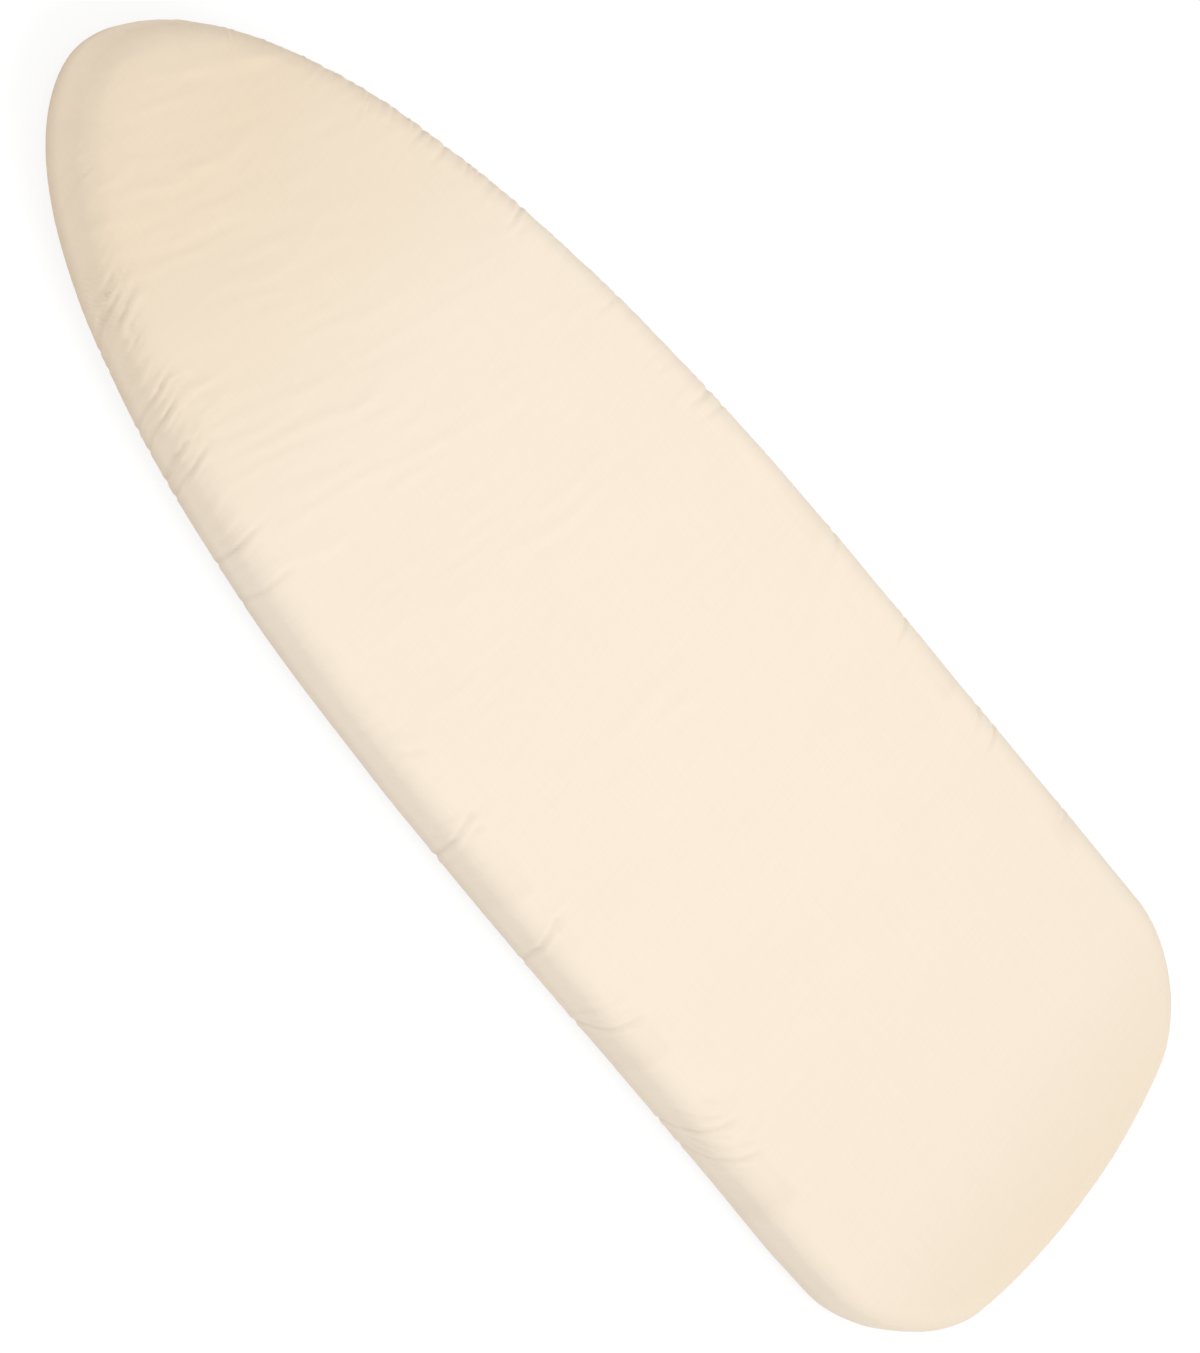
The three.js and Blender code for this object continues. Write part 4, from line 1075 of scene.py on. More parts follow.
class OBJECT_OT_sleeve_cover(bpy.types.Operator):
    """Stretched cotton cover with its hem, gathers and tension folds"""

    bl_idname = "object.sleeve_board_cover"
    bl_label = "Cotton cover"

    def execute(self, context):
        board, cloth = context.scene.sleeve_board, context.scene.sleeve_cloth
        outline = Outline(board)
        gathers = Gathers(outline, cloth)
        tucks = Tucks(outline, cloth)
        shares = spaced(721, COLUMN_WEIGHTS)

        def lift(base, share, run):
            """How far the cloth stands out: gathers, tucks and creases on the edge, soft and long folds on top."""
            tucked = gathers.height(share, run) * cloth.gather_depth * np.clip((run + 0.044) / 0.01, 0, 1)
            tucked += tucks.height(share, run) * cloth.tuck_depth
            tucked += edge_creases(share, run, outline.half_run)
            tucked -= SEAM_DEPTH * math.exp(-(((run - seam_run) / SEAM_HALF) ** 2))
            on_top = np.clip((run + 0.012) / 0.012, 0, 1)
            x, y = base[:, 0], base[:, 1]
            slanted = np.column_stack([x - (0.26 + np.clip(x, 0, 1)) * y, y])
            toward_nose = np.interp(x, [-0.28, -0.12, 0.0, 0.08, 0.28], [0.1, 0.18, 0.5, 1, 1])
            broad = 0.5 + 0.5 * ripple(slanted, 5, 0.038, 0.075, 8, 0.0, 0.1) * (0.4 + 0.6 * toward_nose)
            patchy = np.clip(0.75 + 0.6 * ripple(slanted, 14, 0.03, 0.08, 8), 0.1, 1.3)
            fine = ripple(slanted, 9, 0.005, 0.012, 20, 0.0, 0.16) * patchy
            soft = cloth.fold_height * (broad + 0.24 * fine * toward_nose)
            uneven = 0.0002 * (0.5 + 0.5 * ripple(base, 3, 0.03, 0.09, 10))
            on_wall = np.clip((0.004 - run) / 0.014, 0, 1) * np.clip((run + 0.035) / 0.007, 0, 1)
            uneven = uneven + fullness(share, BULGES) * on_wall
            return np.maximum(0.0002 + tucked + uneven + on_top * (soft + long_folds(base)), DEEPEST)

        reach, under, top = -cloth.slack, board.under_height, board.edge_height
        mid, half = under + board.hem_height / 2, board.hem_height / 2
        hem_end, fold, seam_row = -(board.hem_depth - board.hem_return), -board.hem_depth, 0
        low, high = board.under_turn, board.edge_round
        rows = [(hem_end, mid + half)]
        rows += run_to(rows[-1], (fold, mid + half), 3)
        rows += turn((fold, mid), half, 90, 270, 7)[1:]
        seam = fold + board.hem_return
        for place in (fold + 0.002, fold + 0.0042, seam - 0.0011, seam, seam + 0.0011, seam + 0.0032, seam + 0.0052):
            rows.append((place, under))
            seam_row = len(rows) - 1 if place == seam else seam_row
        rows.append((reach - low - 0.001, under))
        rows += turn((reach - low, under + low), low, -90, 0, 5)
        rows += run_to(rows[-1], (reach, top - high), 8)
        rows += turn((reach - high, top - high), high, 0, 90, 11)[1:]
        near = 3
        inward = [reach - high - 0.0016 * i - 0.0003 * i * i for i in range(1, near + 1)]
        rows += [(o, crowned(o, top, board.crown_rise, high)) for o in inward]
        edge_row = len(rows) - 1 - near
        seam_run = -sum(math.dist(a, b) for a, b in zip(rows[seam_row:edge_row], rows[seam_row + 1 : edge_row + 1]))
        outer, cut = sweep(outline, shares, rows, edge_row, 18, board, lift)

        thin = cloth.thickness
        rows_in = [(hem_end, mid + half - thin)]
        rows_in += run_to(rows_in[-1], (fold, mid + half - thin), 1)
        rows_in += turn((fold, mid), half - thin, 90, 270, 5)[1:]
        rows_in += run_to(rows_in[-1], (reach - low - 0.001, under + thin), 1)
        rows_in += turn((reach - low, under + low), low - thin, -90, 0, 3)
        rows_in += run_to(rows_in[-1], (reach - thin, top - high), 1)
        rows_in += turn((reach - high, top - high), high - thin, 0, 90, 5)[1:]
        rows_in.append((inward[-1], crowned(inward[-1], top - thin, board.crown_rise, high)))
        still = lambda base, *rest: np.full(len(base), INNER_LIFT)
        inner, cut_in = sweep(outline, shares[::COARSER], rows_in, len(rows_in) - 2, 4, board, still)

        points = np.concatenate(outer + inner[::-1])
        flat = np.concatenate(cut + cut_in[::-1])
        count, few = len(outer[0]), len(inner[0])
        faces = skin_faces(len(outer), count).tolist()
        faces += (skin_faces(len(inner), few) + len(outer) * count).tolist()
        last = len(points) - few
        for i in range(few):
            hem = ((COARSER * i + k) % count for k in range(COARSER, -1, -1))
            faces.append([last + i, last + (i + 1) % few, *hem])
        obj = new_object("cotton_cover", points, faces)
        self.mark(obj, flat, outer)
        dress(obj, "board", "cover_cloth", cotton_material(cloth), "cover")
        self.stitches(outer[seam_row], cloth)
        return {"FINISHED"}

    def stitches(self, seam, cloth):
        """Thread stitches that lie along a line on the underside and dive into the cloth at their ends."""
        long, gap, thick = cloth.stitch
        line = np.concatenate([seam, seam[:1]])
        run = np.concatenate([[0], np.cumsum(np.linalg.norm(np.diff(line, axis=0), axis=1))])
        count = int(run[-1] / (long + gap))
        rounds = np.linspace(0, 2 * math.pi, 8, endpoint=False)
        points, faces = [], []
        for i in range(count):
            at = run[-1] * i / count + np.linspace(0, long, 7)
            centre = np.stack([np.interp(at, run, line[:, k]) for k in range(3)], 1)
            way = np.gradient(centre, axis=0)
            way /= np.linalg.norm(way, axis=1)[:, None]
            side = np.cross(way, (0, 0, 1))
            down = np.cross(way, side)
            down *= -np.sign(down[:, 2:])
            arch = np.sin(np.linspace(0, math.pi, 7))
            wide = thick / 2 * (0.45 + 0.55 * arch) * np.array([0.05, 1, 1, 1, 1, 1, 0.05])
            centre = centre + down * (thick * (0.6 * arch - 0.45))[:, None]
            first = len(points) * len(rounds)
            for c, s, d, w in zip(centre, side, down, wide):
                points.append(c + w * (np.cos(rounds)[:, None] * s + np.sin(rounds)[:, None] * d))
            faces += (skin_faces(7, 8) + first).tolist()
            faces += [[first + k for k in range(8)], [first + 48 + k for k in range(8)]]
        obj = new_object("hem_stitches", np.concatenate(points), faces)
        merge_and_face_out(obj)
        dress(obj, "board", "cover_cloth", thread_material(cloth))

    def mark(self, obj, flat, outer):
        """The cut's own UV map, and how deep each point lies between the gathers, which the cotton darkens as painted
        shade.
        """
        mesh = obj.data
        add_uv(obj, "cut", flat)
        stack = np.stack(outer)
        around = (np.roll(stack, 3, 1) + np.roll(stack, -3, 1)) / 2
        deep = np.linalg.norm(stack - around, axis=2)
        centre = stack.mean(axis=(0, 1))
        outward = np.sign(np.linalg.norm(around - centre, axis=2) - np.linalg.norm(stack - centre, axis=2))
        dip = np.clip(deep * outward / 0.0005, 0, 1)
        dip[-20:] = 0
        values = np.zeros(len(mesh.vertices), dtype=np.float32)
        values[: dip.size] = dip.ravel()
        mesh.attributes.new("dip", "FLOAT", "POINT").data.foreach_set("value", values)
        merge_and_face_out(obj)


class OBJECT_OT_sleeve_pad(bpy.types.Operator):
    """Needled felt pad on the pressed top"""

    bl_idname = "object.sleeve_board_pad"
    bl_label = "Felt pad"

    def execute(self, context):
        board, cloth = context.scene.sleeve_board, context.scene.sleeve_cloth
        outline = Outline(board)
        shares = spaced(241)
        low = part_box("pad")[0].z
        in_by, corner, high = 0.0014, 0.0014, board.edge_round
        rows = [(-0.022, low), (-0.012, low), (-in_by - corner, low)]
        rows += turn((-in_by - corner, low + corner), corner, -90, 0, 4)[1:]
        start, peak = low + corner + 0.0004, board.edge_height - 0.0011
        bend = (high + 0.0003 - in_by, peak - start)
        rows += [(bend[0] * x - bend[0] - in_by, start + bend[1] * y) for x, y in turn((0, 0), 1, 0, 90, 9)]
        rise = board.crown_rise + 0.0002
        rows += [(o, crowned(o, peak, rise, high)) for o in (-0.011, -0.015, -0.021)]
        felt = lambda base, share, run: 0.00012 * (1 + ripple(base, 21, 0.004, 0.02, 18)) - 0.0002
        points, _ = sweep(outline, shares, rows, len(rows) - 4, 8, board, felt)
        under = np.column_stack([points[0][:, :2], np.full(len(points[0]), low)])
        spine = under * (0.74, 0, 1)
        rings = [spine, (spine + under) / 2, *points]
        obj = new_object("felt_pad", np.concatenate(rings), skin_faces(len(rings), len(rings[0])))
        merge_and_face_out(obj)
        dress(obj, "board", "pad_felt", felt_material(cloth), "pad")
        return {"FINISHED"}


class OBJECT_OT_sleeve_hem_tape(bpy.types.Operator):
    """Braided elastic in the hem"""

    bl_idname = "object.sleeve_board_hem_tape"
    bl_label = "Hem elastic"

    def execute(self, context):
        board = context.scene.sleeve_board
        low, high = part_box("hem_elastic")
        outline = Outline(board)
        place, out, share = outline.ring(spaced(321))
        near, far, thick = 0.011, 0.0165, high.z - low.z
        r = thick * 0.42
        section = turn((-near - r, low.z + r), r, -90, 0, 4) + turn((-near - r, high.z - r), r, 0, 90, 4)
        section += turn((-far + r, high.z - r), r, 90, 180, 4) + turn((-far + r, low.z + r), r, 180, 270, 4)
        rings, marks = [], []
        around = share * outline.half_run
        lengths = np.cumsum([0] + [math.dist(a, b) for a, b in zip(section, section[1:])])
        for (reach, height), v in zip(section, lengths):
            rings.append(np.column_stack([place + out * reach, np.full(len(place), height)]))
            marks.append(np.column_stack([around, np.full(len(place), v)]))
        rings.append(rings[0])
        marks.append(np.column_stack([around, np.full(len(place), lengths[-1])]))
        obj = new_object("hem_tape", np.concatenate(rings), skin_faces(len(rings), len(rings[0])))
        add_uv(obj, "tape", np.concatenate(marks))
        merge_and_face_out(obj)
        dress(obj, "board", "elastic", elastic_material(), "hem_elastic")
        return {"FINISHED"}


LEG_ENDS = (("rear", 1), ("front", -1))
HANDS = ("left", "right")
LYING, STANDING = (math.pi / 2, 0, 0), (-math.pi / 2, 0, 0)


def vent_places(outline, metal):
    """Staggered rows of vents that keep clear of the rim and of what is fixed below the top."""
    clear = metal.vent_radius + metal.vent_clear
    keep = []
    for name in ("rear_cross_rail", "front_cross_rail", "nose_stiffener", "tail_stiffener", "leg_clip"):
        low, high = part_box(name)
        keep.append(((low.x + high.x) / 2, (low.y + high.y) / 2, (high.x - low.x) / 2, (high.y - low.y) / 2))
    for end, _ in LEG_ENDS:
        for hand in HANDS:
            pin = middle(f"{end}_{hand}_pin")
            low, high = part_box(f"{end}_{hand}_bracket")
            reach = max(abs(low.x - pin.x), abs(high.x - pin.x))
            keep.append((pin.x, pin.y, reach, (high.y - low.y) / 2))
    place, out, _ = outline.ring(spaced(181))
    edge = place - out * metal.vent_margin
    ahead = np.roll(edge, -1, axis=0)
    pitch_x, pitch_y = metal.vent_pitch
    places = []
    for row in range(-int(WIDTH / pitch_y), int(WIDTH / pitch_y) + 1):
        for step in range(-int(LENGTH / pitch_x), int(LENGTH / pitch_x) + 1):
            x, y = (step + row % 2 / 2) * pitch_x, row * pitch_y / 2
            if any(abs(x - a) < b + clear and abs(y - c) < d + clear for a, c, b, d in keep):
                continue
            crosses = (edge[:, 1] > y) != (ahead[:, 1] > y)
            rise = np.where(crosses, ahead[:, 1] - edge[:, 1], 1)
            at = (ahead[:, 0] - edge[:, 0]) * (y - edge[:, 1]) / rise + edge[:, 0]
            if np.sum(crosses & (x < at)) % 2:
                places.append((x, y))
    return places


class OBJECT_OT_sleeve_top(bpy.types.Operator):
    """Pressed steel top with its rolled edge, rim, flange and vents with pressed collars"""

    bl_idname = "object.sleeve_board_top"
    bl_label = "Pressed steel top"

    def execute(self, context):
        metal = context.scene.sleeve_metal
        outline = Outline(context.scene.sleeve_board)
        low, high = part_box("top_panel")
        place, out, _ = outline.ring(spaced(151))
        rim = place - out * metal.panel_inset
        press = metal.press_round
        clear_selection()
        bpy.ops.mesh.primitive_circle_add(vertices=len(rim), radius=WIDTH / 2, fill_type="NGON")
        obj = bpy.context.object
        obj.name = "pressed_top"
        for vertex, (x, y) in zip(obj.data.vertices, rim):
            vertex.co = (x, y, high.z - press)
        edit(obj)
        if obj.data.polygons[0].normal.z < 0:
            bpy.ops.mesh.flip_normals()
        arc = [(press * (1 - math.cos(a)), press * math.sin(a)) for a in np.linspace(0, math.pi / 2, 7)]
        for (in_0, up_0), (in_1, up_1) in zip(arc, arc[1:]):
            bpy.ops.mesh.inset(thickness=in_1 - in_0, depth=up_1 - up_0, use_even_offset=True)
        pick(obj, "EDGE", lambda at, edge: edge.is_boundary)
        extrude(z=low.z - (high.z - press))
        bpy.ops.mesh.edge_face_add()
        bpy.ops.mesh.inset(thickness=metal.flange, use_even_offset=True)
        bpy.ops.mesh.delete(type="FACE")
        leave(obj)
        clean_up(obj)
        modify(obj, "BEVEL", width=0.0016, segments=3, limit_method="ANGLE", angle_limit=math.radians(60))
        modify(obj, "SOLIDIFY", thickness=metal.top_sheet, offset=-1, use_even_offset=True)
        self.vents(obj, vent_places(outline, metal), metal, high.z)
        clean_up(obj, 30)
        dress(obj, "board", "top_steel", galvanised(), "top_panel")
        return {"FINISHED"}

    def vents(self, obj, places, metal, top):
        r, under = metal.vent_radius, top - metal.top_sheet
        wide, lip = r + 0.0022, under - metal.vent_dish
        bpy.ops.mesh.primitive_cylinder_add(vertices=32, radius=wide, depth=0.004, location=(0, 0, top - 0.0006))
        drill = put(bpy.context.object, (0, 0, top - 0.0006))
        profile = [
            (wide, top), (r + 0.0013, top - 0.0001), (r + 0.0006, top - 0.0005), (r + 0.0001, under),
            (r, lip + 0.0003), (r + 0.0001, lip), (r + 0.0008, lip), (r + 0.001, lip + 0.0003),
            (r + 0.0012, under - 0.0004), (r + 0.0016, under - 0.0001), (wide, under),
        ]
        collar = turned("vent_collar", profile, 32, hollow=True)
        drills = [copy_of(drill, "drill", (x, y, 0)) for x, y in places]
        collars = [copy_of(collar, "vent_collar", (x, y, 0)) for x, y in places]
        bpy.data.objects.remove(drill)
        bpy.data.objects.remove(collar)
        unite(obj, join(drills), "DIFFERENCE")
        centres = np.array(places)

        def cut_wall(at, face):
            away = np.hypot(*(centres - (at.x, at.y)).T).min()
            return abs(face.normal.z) < 0.5 and abs(away - wide) < 0.0002

        edit(obj)
        pick(obj, "FACE", cut_wall)
        bpy.ops.mesh.delete(type="FACE")
        leave(obj)
        join([obj, *collars])


class OBJECT_OT_sleeve_rails(bpy.types.Operator):
    """Hat-section rails with rounded bends and spot welds"""

    bl_idname = "object.sleeve_board_rails"
    bl_label = "Rails"

    def execute(self, context):
        metal = context.scene.sleeve_metal
        mark = turned("weld", [(0.0019, 0), (0.0017, -0.00014), (0.0012, -0.00018), (0.0009, -0.00008)], 20)
        for node in ("rear_cross_rail", "front_cross_rail", "nose_stiffener", "tail_stiffener"):
            low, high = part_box(node)
            size = high - low
            long, half = max(size.x, size.y), min(size.x, size.y) / 2
            sheet, bend, top = metal.rail_sheet, 0.0013, high.z + metal.seat
            foot, bottom = -sheet / 2, sheet / 2 - (top - low.z)
            right = [(0.0063, bottom, bend), (0.0081, foot, bend), (half, foot, 0)]
            left = [(-a, b, c) for a, b, c in reversed(right)]
            obj = plate(f"{node}_sheet", ribbon(rounded(left + right), sheet), long)
            welds = max(int((long - 0.012) / metal.weld_pitch), 1)
            along = [0.006 + (long - 0.012) * i / welds for i in range(welds + 1)]
            marks = [
                copy_of(mark, "weld", (side * (half - 0.0023), -sheet, a), STANDING) for a in along for side in (-1, 1)
            ]
            obj = join([obj, *marks])
            if size.x > size.y:
                put(obj, (low.x, 0, top), (math.pi / 2, 0, math.pi / 2))
            else:
                put(obj, (middle(node).x, high.y, top), LYING)
            clean_up(obj)
            dress(obj, "board", "rail_steel", zinc_plate(), node)
        bpy.data.objects.remove(mark)
        return {"FINISHED"}


class OBJECT_OT_sleeve_brackets(bpy.types.Operator):
    """Hinge brackets with rounded ears and cheeks, their pins, and the rivets"""

    bl_idname = "object.sleeve_board_brackets"
    bl_label = "Brackets, pins and rivets"

    def execute(self, context):
        metal = context.scene.sleeve_metal
        bracket, pin = self.bracket(metal), self.pin(metal)
        for end, way in LEG_ENDS:
            for hand in HANDS:
                at = middle(f"{end}_{hand}_pin")
                facing = (0, 0, 0 if way > 0 else math.pi)
                obj = clean_up(copy_of(bracket, f"{end}_{hand}_bracket_sheet", (at.x, at.y, 0), facing), 30)
                dress(obj, "board", "bracket_steel", zinc_plate(), f"{end}_{hand}_bracket")
                obj = clean_up(copy_of(pin, f"{end}_{hand}_pin_turned", at))
                dress(obj, "board", "pin_steel", bright_pin(), f"{end}_{hand}_pin")
        rivet = self.rivet()
        for node in [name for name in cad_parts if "rivet" in name]:
            at = middle(node)
            obj = clean_up(copy_of(rivet, f"{node}_headed", (at.x, at.y, 0)))
            dress(obj, "board", "pin_steel", bright_pin(), node)
        for piece in (bracket, pin, rivet):
            bpy.data.objects.remove(piece)
        return {"FINISHED"}

    def bracket(self, metal):
        """The rear left bracket with its pin's axis over the origin."""
        at = middle("rear_left_pin")
        low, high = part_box("rear_left_bracket")
        back, front, ear = low.x - at.x, high.x - at.x, high.y - at.y
        sheet, top = metal.bracket_sheet, high.z + metal.seat
        wide = metal.tube_radius + 0.0003 + sheet
        ear_0, ear_1 = (middle("rear_left_rivet_outer").x - at.x + side * 0.008 for side in (-1, 1))
        half = [
            (back, wide, 0.001), (ear_0, wide, 0.001), (ear_0, ear, 0.0035), (ear_1, ear, 0.0035),
            (ear_1, wide, 0.001), (front, wide, 0.001),
        ]
        other = [(x, -y, r) for x, y, r in reversed(half)]
        roof = rounded([(back, 0, 0), *half, *other, (back, 0, 0)])[:-1]
        obj = put(plate("bracket", roof, sheet), (0, 0, top - sheet))
        side = [(back, top / 2, 0), (back, 0, 0.001), (front, 0, metal.bracket_corner), (front, top - sheet / 2, 0)]
        cheek = [*rounded(side, 8), (back, top - sheet / 2)]
        for y in (wide, sheet - wide):
            unite(obj, put(plate("cheek", cheek, sheet), (0, y, 0), LYING))
        wall = [(-wide, top / 2, 0), (-wide, 0, 0.001), (wide, 0, 0.001), (wide, top / 2, 0)]
        wall = [*rounded(wall), (wide, top - sheet / 2), (-wide, top - sheet / 2)]
        unite(obj, put(plate("stop", wall, sheet), (back, 0, 0), (math.pi / 2, 0, math.pi / 2)))
        modify(obj, "BEVEL", width=0.0004, segments=2, limit_method="ANGLE", angle_limit=math.radians(40))
        return obj

    def pin(self, metal):
        low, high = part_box("rear_left_pin")
        r, head, end = 0.003, (high.z - low.z) / 2, (high.y - low.y) / 2
        start = metal.tube_radius + 0.0003 + metal.bracket_sheet
        half = [
            (r, start), (head - 0.0002, start), (head, start + 0.0003), (head * 0.98, start + 0.0008),
            (head * 0.86, end - 0.0004), (head * 0.6, end - 0.0001), (head * 0.4, end), (head * 0.28, end - 0.0003),
        ]
        mirrored = [(a, -b) for a, b in reversed(half)]
        return put(turned("pin", mirrored + half, 32), rotation=LYING)

    def rivet(self):
        low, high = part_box("clip_rivet")
        head = (high.x - low.x) / 2
        under = low.z + 0.0013
        profile = [
            (head * 0.25, low.z), (head * 0.6, low.z + 0.00008), (head * 0.85, low.z + 0.0003), (head, low.z + 0.0008),
            (head, under - 0.0001), (head - 0.0002, under), (0.002, under), (0.002, high.z),
        ]
        return turned("rivet", profile, 24)


class OBJECT_OT_sleeve_legs(bpy.types.Operator):
    """Bent tube legs with domed ends, their braces and the ribbed rubber feet"""

    bl_idname = "object.sleeve_board_legs"
    bl_label = "Legs and feet"

    def execute(self, context):
        metal = context.scene.sleeve_metal
        foot = self.foot(metal)
        for end, way in LEG_ENDS:
            body = f"{end}_leg"
            pin, bar = middle(f"{end}_left_pin"), middle(f"{end}_left_foot").x
            obj = clean_up(self.tube(f"{end}_leg_bent_tube", pin, bar, way, metal), 40)
            dress(obj, body, "leg_paint", leg_paint(), f"{end}_leg_tube")
            at, reach, r = middle(f"{end}_leg_brace"), pin.y - 0.004, metal.brace_radius
            half = [(r, reach - 0.0042), (r * 1.1, reach - 0.0032), (r * 1.3, reach - 0.0023), (r * 1.45, reach)]
            obj = turned(f"{end}_leg_brace_rod", [(a, -b) for a, b in reversed(half)] + half, 24)
            obj = clean_up(put(obj, at, LYING))
            dress(obj, body, "leg_paint", leg_paint(), f"{end}_leg_brace")
            for hand in HANDS:
                node = f"{end}_{hand}_foot"
                obj = clean_up(copy_of(foot, f"{node}_sleeve", middle(node)), 30)
                dress(obj, body, "foot_rubber", foot_rubber(), node)
        bpy.data.objects.remove(foot)
        return {"FINISHED"}

    def tube(self, name, pin, bar, way, metal):
        r, bend, y, z = metal.tube_radius, metal.bend_radius, pin.y, pin.z
        bent = bar - way * bend
        clear_selection()
        bpy.ops.mesh.primitive_circle_add(vertices=32, radius=r, rotation=(0, math.pi / 2, 0), location=pin)
        obj = bpy.context.object
        obj.name = name
        bpy.ops.object.transform_apply(location=True, rotation=True, scale=True)
        edit(obj)
        extrude(x=bent - pin.x)
        bpy.ops.mesh.spin(steps=12, angle=way * math.pi / 2, center=(bent, y - bend, z), axis=(0, 0, 1))
        extrude(y=2 * (bend - y))
        bpy.ops.mesh.spin(steps=12, angle=way * math.pi / 2, center=(bent, bend - y, z), axis=(0, 0, 1))
        extrude(x=pin.x - bent)
        self.dome(-y, pin, way, r)
        pick(obj, "EDGE", lambda at, edge: edge.is_boundary and at.y > 0)
        self.dome(y, pin, way, r)
        leave(obj)
        clear_selection()
        bpy.ops.mesh.primitive_cylinder_add(
            vertices=32, radius=0.0031, depth=2 * y + 0.03, rotation=LYING, location=(pin.x, 0, z)
        )
        hole = bpy.context.object
        bpy.ops.object.transform_apply(location=True, rotation=True, scale=True)
        return unite(clean_up(obj), hole, "DIFFERENCE")

    def dome(self, y, pin, way, r):
        """Closes the selected end of the tube with a low dome that reaches past the hinge."""
        x, share = pin.x, 1.0
        for angle in (20, 40, 58, 74, 84):
            a = math.radians(angle)
            step = pin.x - way * 0.0066 * math.sin(a) - x
            extrude(x=step)
            x += step
            bpy.ops.transform.resize(value=(1, math.cos(a) / share, math.cos(a) / share), center_override=(x, y, pin.z))
            share = math.cos(a)
        bpy.ops.mesh.edge_face_add()

    def foot(self, metal):
        low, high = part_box("rear_left_foot")
        half, r = (high.y - low.y) / 2, (high.z - low.z) / 2
        bore, deep = metal.tube_radius + 0.00005, metal.foot_groove
        groove = [(0, -0.0012), (0.12, -0.001), (0.75, -0.0005), (1, -0.0002)]
        groove += [(d, -s) for d, s in reversed(groove)]
        ribs = [(r - deep * d, share * 2 * half + s) for share in (-0.24, 0, 0.24) for d, s in groove]
        lip = [(0, 0.0013), (0.0002, 0.0007), (0.0006, 0.0002), (0.0012, 0)]
        edge = [*((r - a, half - b) for a, b in lip), (bore, half)]
        profile = [(a, -b) for a, b in reversed(edge)] + ribs + edge + [(bore, -half)]
        return put(turned("foot", profile, 40, hollow=True), rotation=LYING)


class OBJECT_OT_sleeve_clip(bpy.types.Operator):
    """Moulded clip that holds the two folded foot bars"""

    bl_idname = "object.sleeve_board_clip"
    bl_label = "Leg clip"

    def execute(self, context):
        metal = context.scene.sleeve_metal
        low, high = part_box("leg_clip")
        top, base = high.z + metal.seat, high.z - metal.bracket_sheet
        gap, arm = metal.tube_radius + 0.0003, 0.0016
        line = [((low.x + high.x) / 2, top, 0), (low.x, top, 0.0005), (low.x, base, 0.0004)]
        for x in (middle("rear_left_foot").x, middle("front_left_foot").x):
            for left in (x - gap - arm, x + gap):
                right, tip = left + arm, low.z
                line += [
                    (left, base, 0.0009), (left, tip + 0.002, 0.0012), (left + 0.0006, tip, 0.0002),
                    (right - 0.0006, tip, 0.0002), (right, tip + 0.002, 0.0012), (right, base, 0.0009),
                ]
        line += [(high.x, base, 0.0004), (high.x, top, 0.0005), ((low.x + high.x) / 2, top, 0)]
        obj = put(plate("clip_moulded", rounded(line, 3)[:-1], high.y - low.y), (0, high.y, 0), LYING)
        modify(obj, "BEVEL", width=0.0003, segments=2, limit_method="ANGLE", angle_limit=math.radians(50))
        clean_up(obj, 30)
        dress(obj, "board", "clip_plastic", clip_nylon(), "leg_clip")
        return {"FINISHED"}


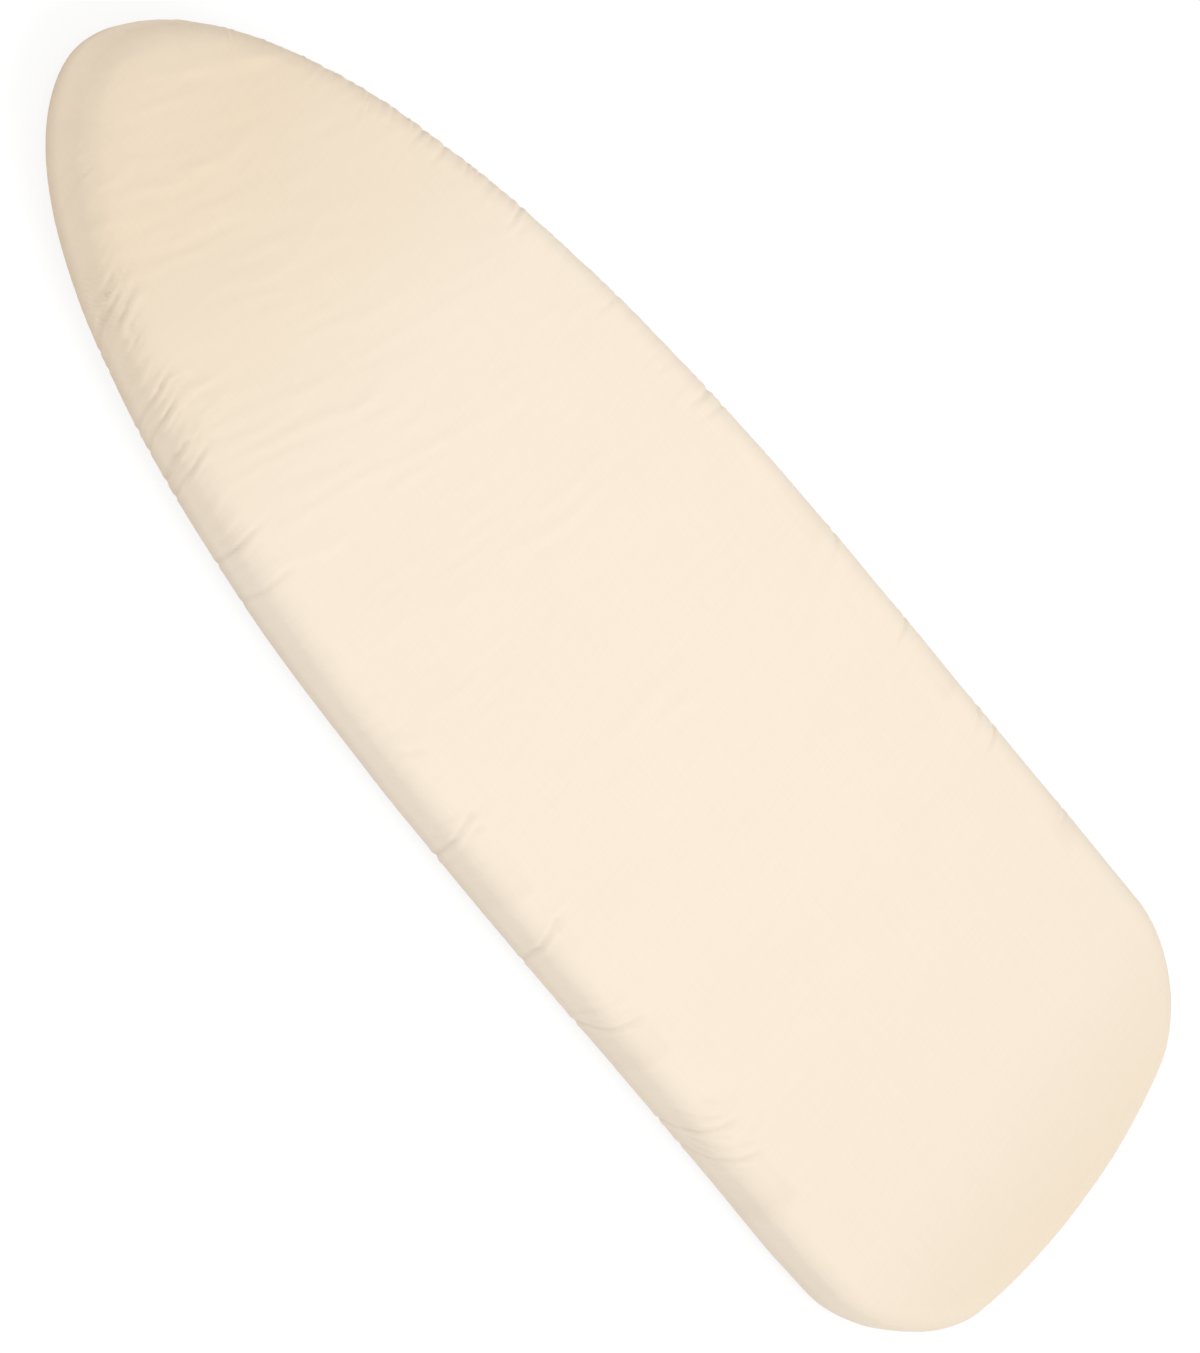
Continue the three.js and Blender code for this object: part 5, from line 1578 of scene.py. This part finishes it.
class OBJECT_OT_sleeve_stage(bpy.types.Operator):
    """Pale floor, soft lamps and the camera"""

    bl_idname = "object.sleeve_board_stage"
    bl_label = "Stage"

    def execute(self, context):
        stage = context.scene.sleeve_stage
        clear_selection()
        bpy.ops.mesh.primitive_plane_add(size=8, location=(0, 0, -0.0003))
        floor = context.object
        floor.name = "floor"
        floor.data.transform(floor.matrix_world)
        floor.matrix_world = Matrix.Identity(4)
        floor.data.materials.append(self.floor_material(stage))
        self.world(context.scene, stage)
        for name, place, strength, softness in (
            ("key_lamp", (-1.2, 0.0, 1.2), stage.key_strength, stage.key_softness),
            ("fill_lamp", (0.9, 0.42, 0.35), stage.fill_strength, 1.0),
        ):
            sun = bpy.data.lights.new(name, "SUN")
            sun.energy, sun.angle = strength, softness
            self.lamp(sun, place, (0, 0, 0))
        overhead = bpy.data.lights.new("overhead_lamp", "AREA")
        overhead.shape, overhead.size, overhead.energy = "DISK", 0.3, stage.overhead_power
        self.lamp(overhead, (-0.05, 0, 0.5), (-0.05, 0, 0))
        self.camera(context.scene, stage)
        return {"FINISHED"}

    def floor_material(self, stage):
        material = bpy.data.materials.new("pale floor")
        material.use_nodes = True
        material.node_tree.nodes.clear()
        t = Tree(material.node_tree)
        tone = t.mix(t.noise(t.place(), 6.0), (0.86, 0.86, 0.86, 1), (0.9, 0.9, 0.9, 1))
        plain = t.node("ShaderNodeBsdfDiffuse", {"Color": tone}).outputs[0]
        glow = t.node("ShaderNodeEmission", {"Color": rgba(stage.backdrop), "Strength": 1.06}).outputs[0]
        shown = t.node("ShaderNodeMixShader", {0: t.times(t.seen(), 0.8), 1: plain, 2: glow}).outputs[0]
        back = t.node("ShaderNodeNewGeometry").outputs["Backfacing"]
        clear = t.node("ShaderNodeBsdfTransparent").outputs[0]
        whole = t.node("ShaderNodeMixShader", {0: back, 1: shown, 2: clear}).outputs[0]
        t.node("ShaderNodeOutputMaterial", {"Surface": whole})
        return material

    def world(self, scene, stage):
        world = bpy.data.worlds.new("studio")
        scene.world = world
        world.use_nodes = True
        world.node_tree.nodes.clear()
        t = Tree(world.node_tree)
        strength = t.add(stage.sky, t.times(t.seen(), 1.0 - stage.sky))
        glow = t.node("ShaderNodeBackground", {"Color": rgba(stage.backdrop), "Strength": strength}).outputs[0]
        t.node("ShaderNodeOutputWorld", {"Surface": glow})

    def lamp(self, lamp, place, target):
        obj = bpy.data.objects.new(lamp.name, lamp)
        obj.location = place
        obj.rotation_mode = "QUATERNION"
        obj.rotation_quaternion = (Vector(target) - Vector(place)).to_track_quat("-Z", "Y")
        obj.visible_camera = False
        bpy.context.scene.collection.objects.link(obj)

    def camera(self, scene, stage):
        a, e, r = stage.camera_azimuth, stage.camera_elevation, stage.camera_roll
        back = Vector((math.cos(a) * math.cos(e), math.sin(a) * math.cos(e), math.sin(e)))
        side = Vector((-math.sin(a), math.cos(a), 0))
        top = back.cross(side)
        right = side * math.cos(r) + top * math.sin(r)
        up = top * math.cos(r) - side * math.sin(r)
        data = bpy.data.cameras.new("camera")
        data.lens, data.sensor_width = stage.camera_lens, 36.0
        data.clip_start, data.clip_end = 0.1, 20
        obj = bpy.data.objects.new("camera", data)
        scene.collection.objects.link(obj)
        pose = Matrix((right, up, back)).transposed().to_4x4()
        pose.translation = Vector(stage.camera_target) + back * stage.camera_distance
        obj.matrix_world = pose
        scene.camera = obj
        scene.view_settings.view_transform = "Standard"


class VIEW3D_PT_sleeve_board(bpy.types.Panel):
    bl_label = "Sleeve board"
    bl_idname = "VIEW3D_PT_sleeve_board"
    bl_space_type = "VIEW_3D"
    bl_region_type = "UI"
    bl_category = "Sleeve board"

    def draw(self, context):
        column = self.layout.column(align=True)
        for operator in OPERATORS:
            column.operator(operator.bl_idname, text=operator.bl_label)
        for name in SETTINGS:
            settings = getattr(context.scene, name)
            box = self.layout.box()
            for key in settings.__annotations__:
                box.prop(settings, key)


SETTINGS = {
    "sleeve_board": BoardSettings,
    "sleeve_cloth": ClothSettings,
    "sleeve_metal": MetalSettings,
    "sleeve_stage": StageSettings,
}
OPERATORS = (
    OBJECT_OT_sleeve_hem_tape,
    OBJECT_OT_sleeve_pad,
    OBJECT_OT_sleeve_cover,
    OBJECT_OT_sleeve_top,
    OBJECT_OT_sleeve_rails,
    OBJECT_OT_sleeve_brackets,
    OBJECT_OT_sleeve_legs,
    OBJECT_OT_sleeve_clip,
    OBJECT_OT_sleeve_stage,
)


def register():
    for kind in (*SETTINGS.values(), *OPERATORS, VIEW3D_PT_sleeve_board):
        bpy.utils.register_class(kind)
    for name, kind in SETTINGS.items():
        setattr(bpy.types.Scene, name, bpy.props.PointerProperty(type=kind))


def unregister():
    for name in SETTINGS:
        delattr(bpy.types.Scene, name)
    for kind in (VIEW3D_PT_sleeve_board, *reversed(OPERATORS), *SETTINGS.values()):
        bpy.utils.unregister_class(kind)


def main():
    register()
    for operator in OPERATORS:
        area, name = operator.bl_idname.split(".")
        getattr(getattr(bpy.ops, area), name)()


if __name__ == "__main__":
    main()
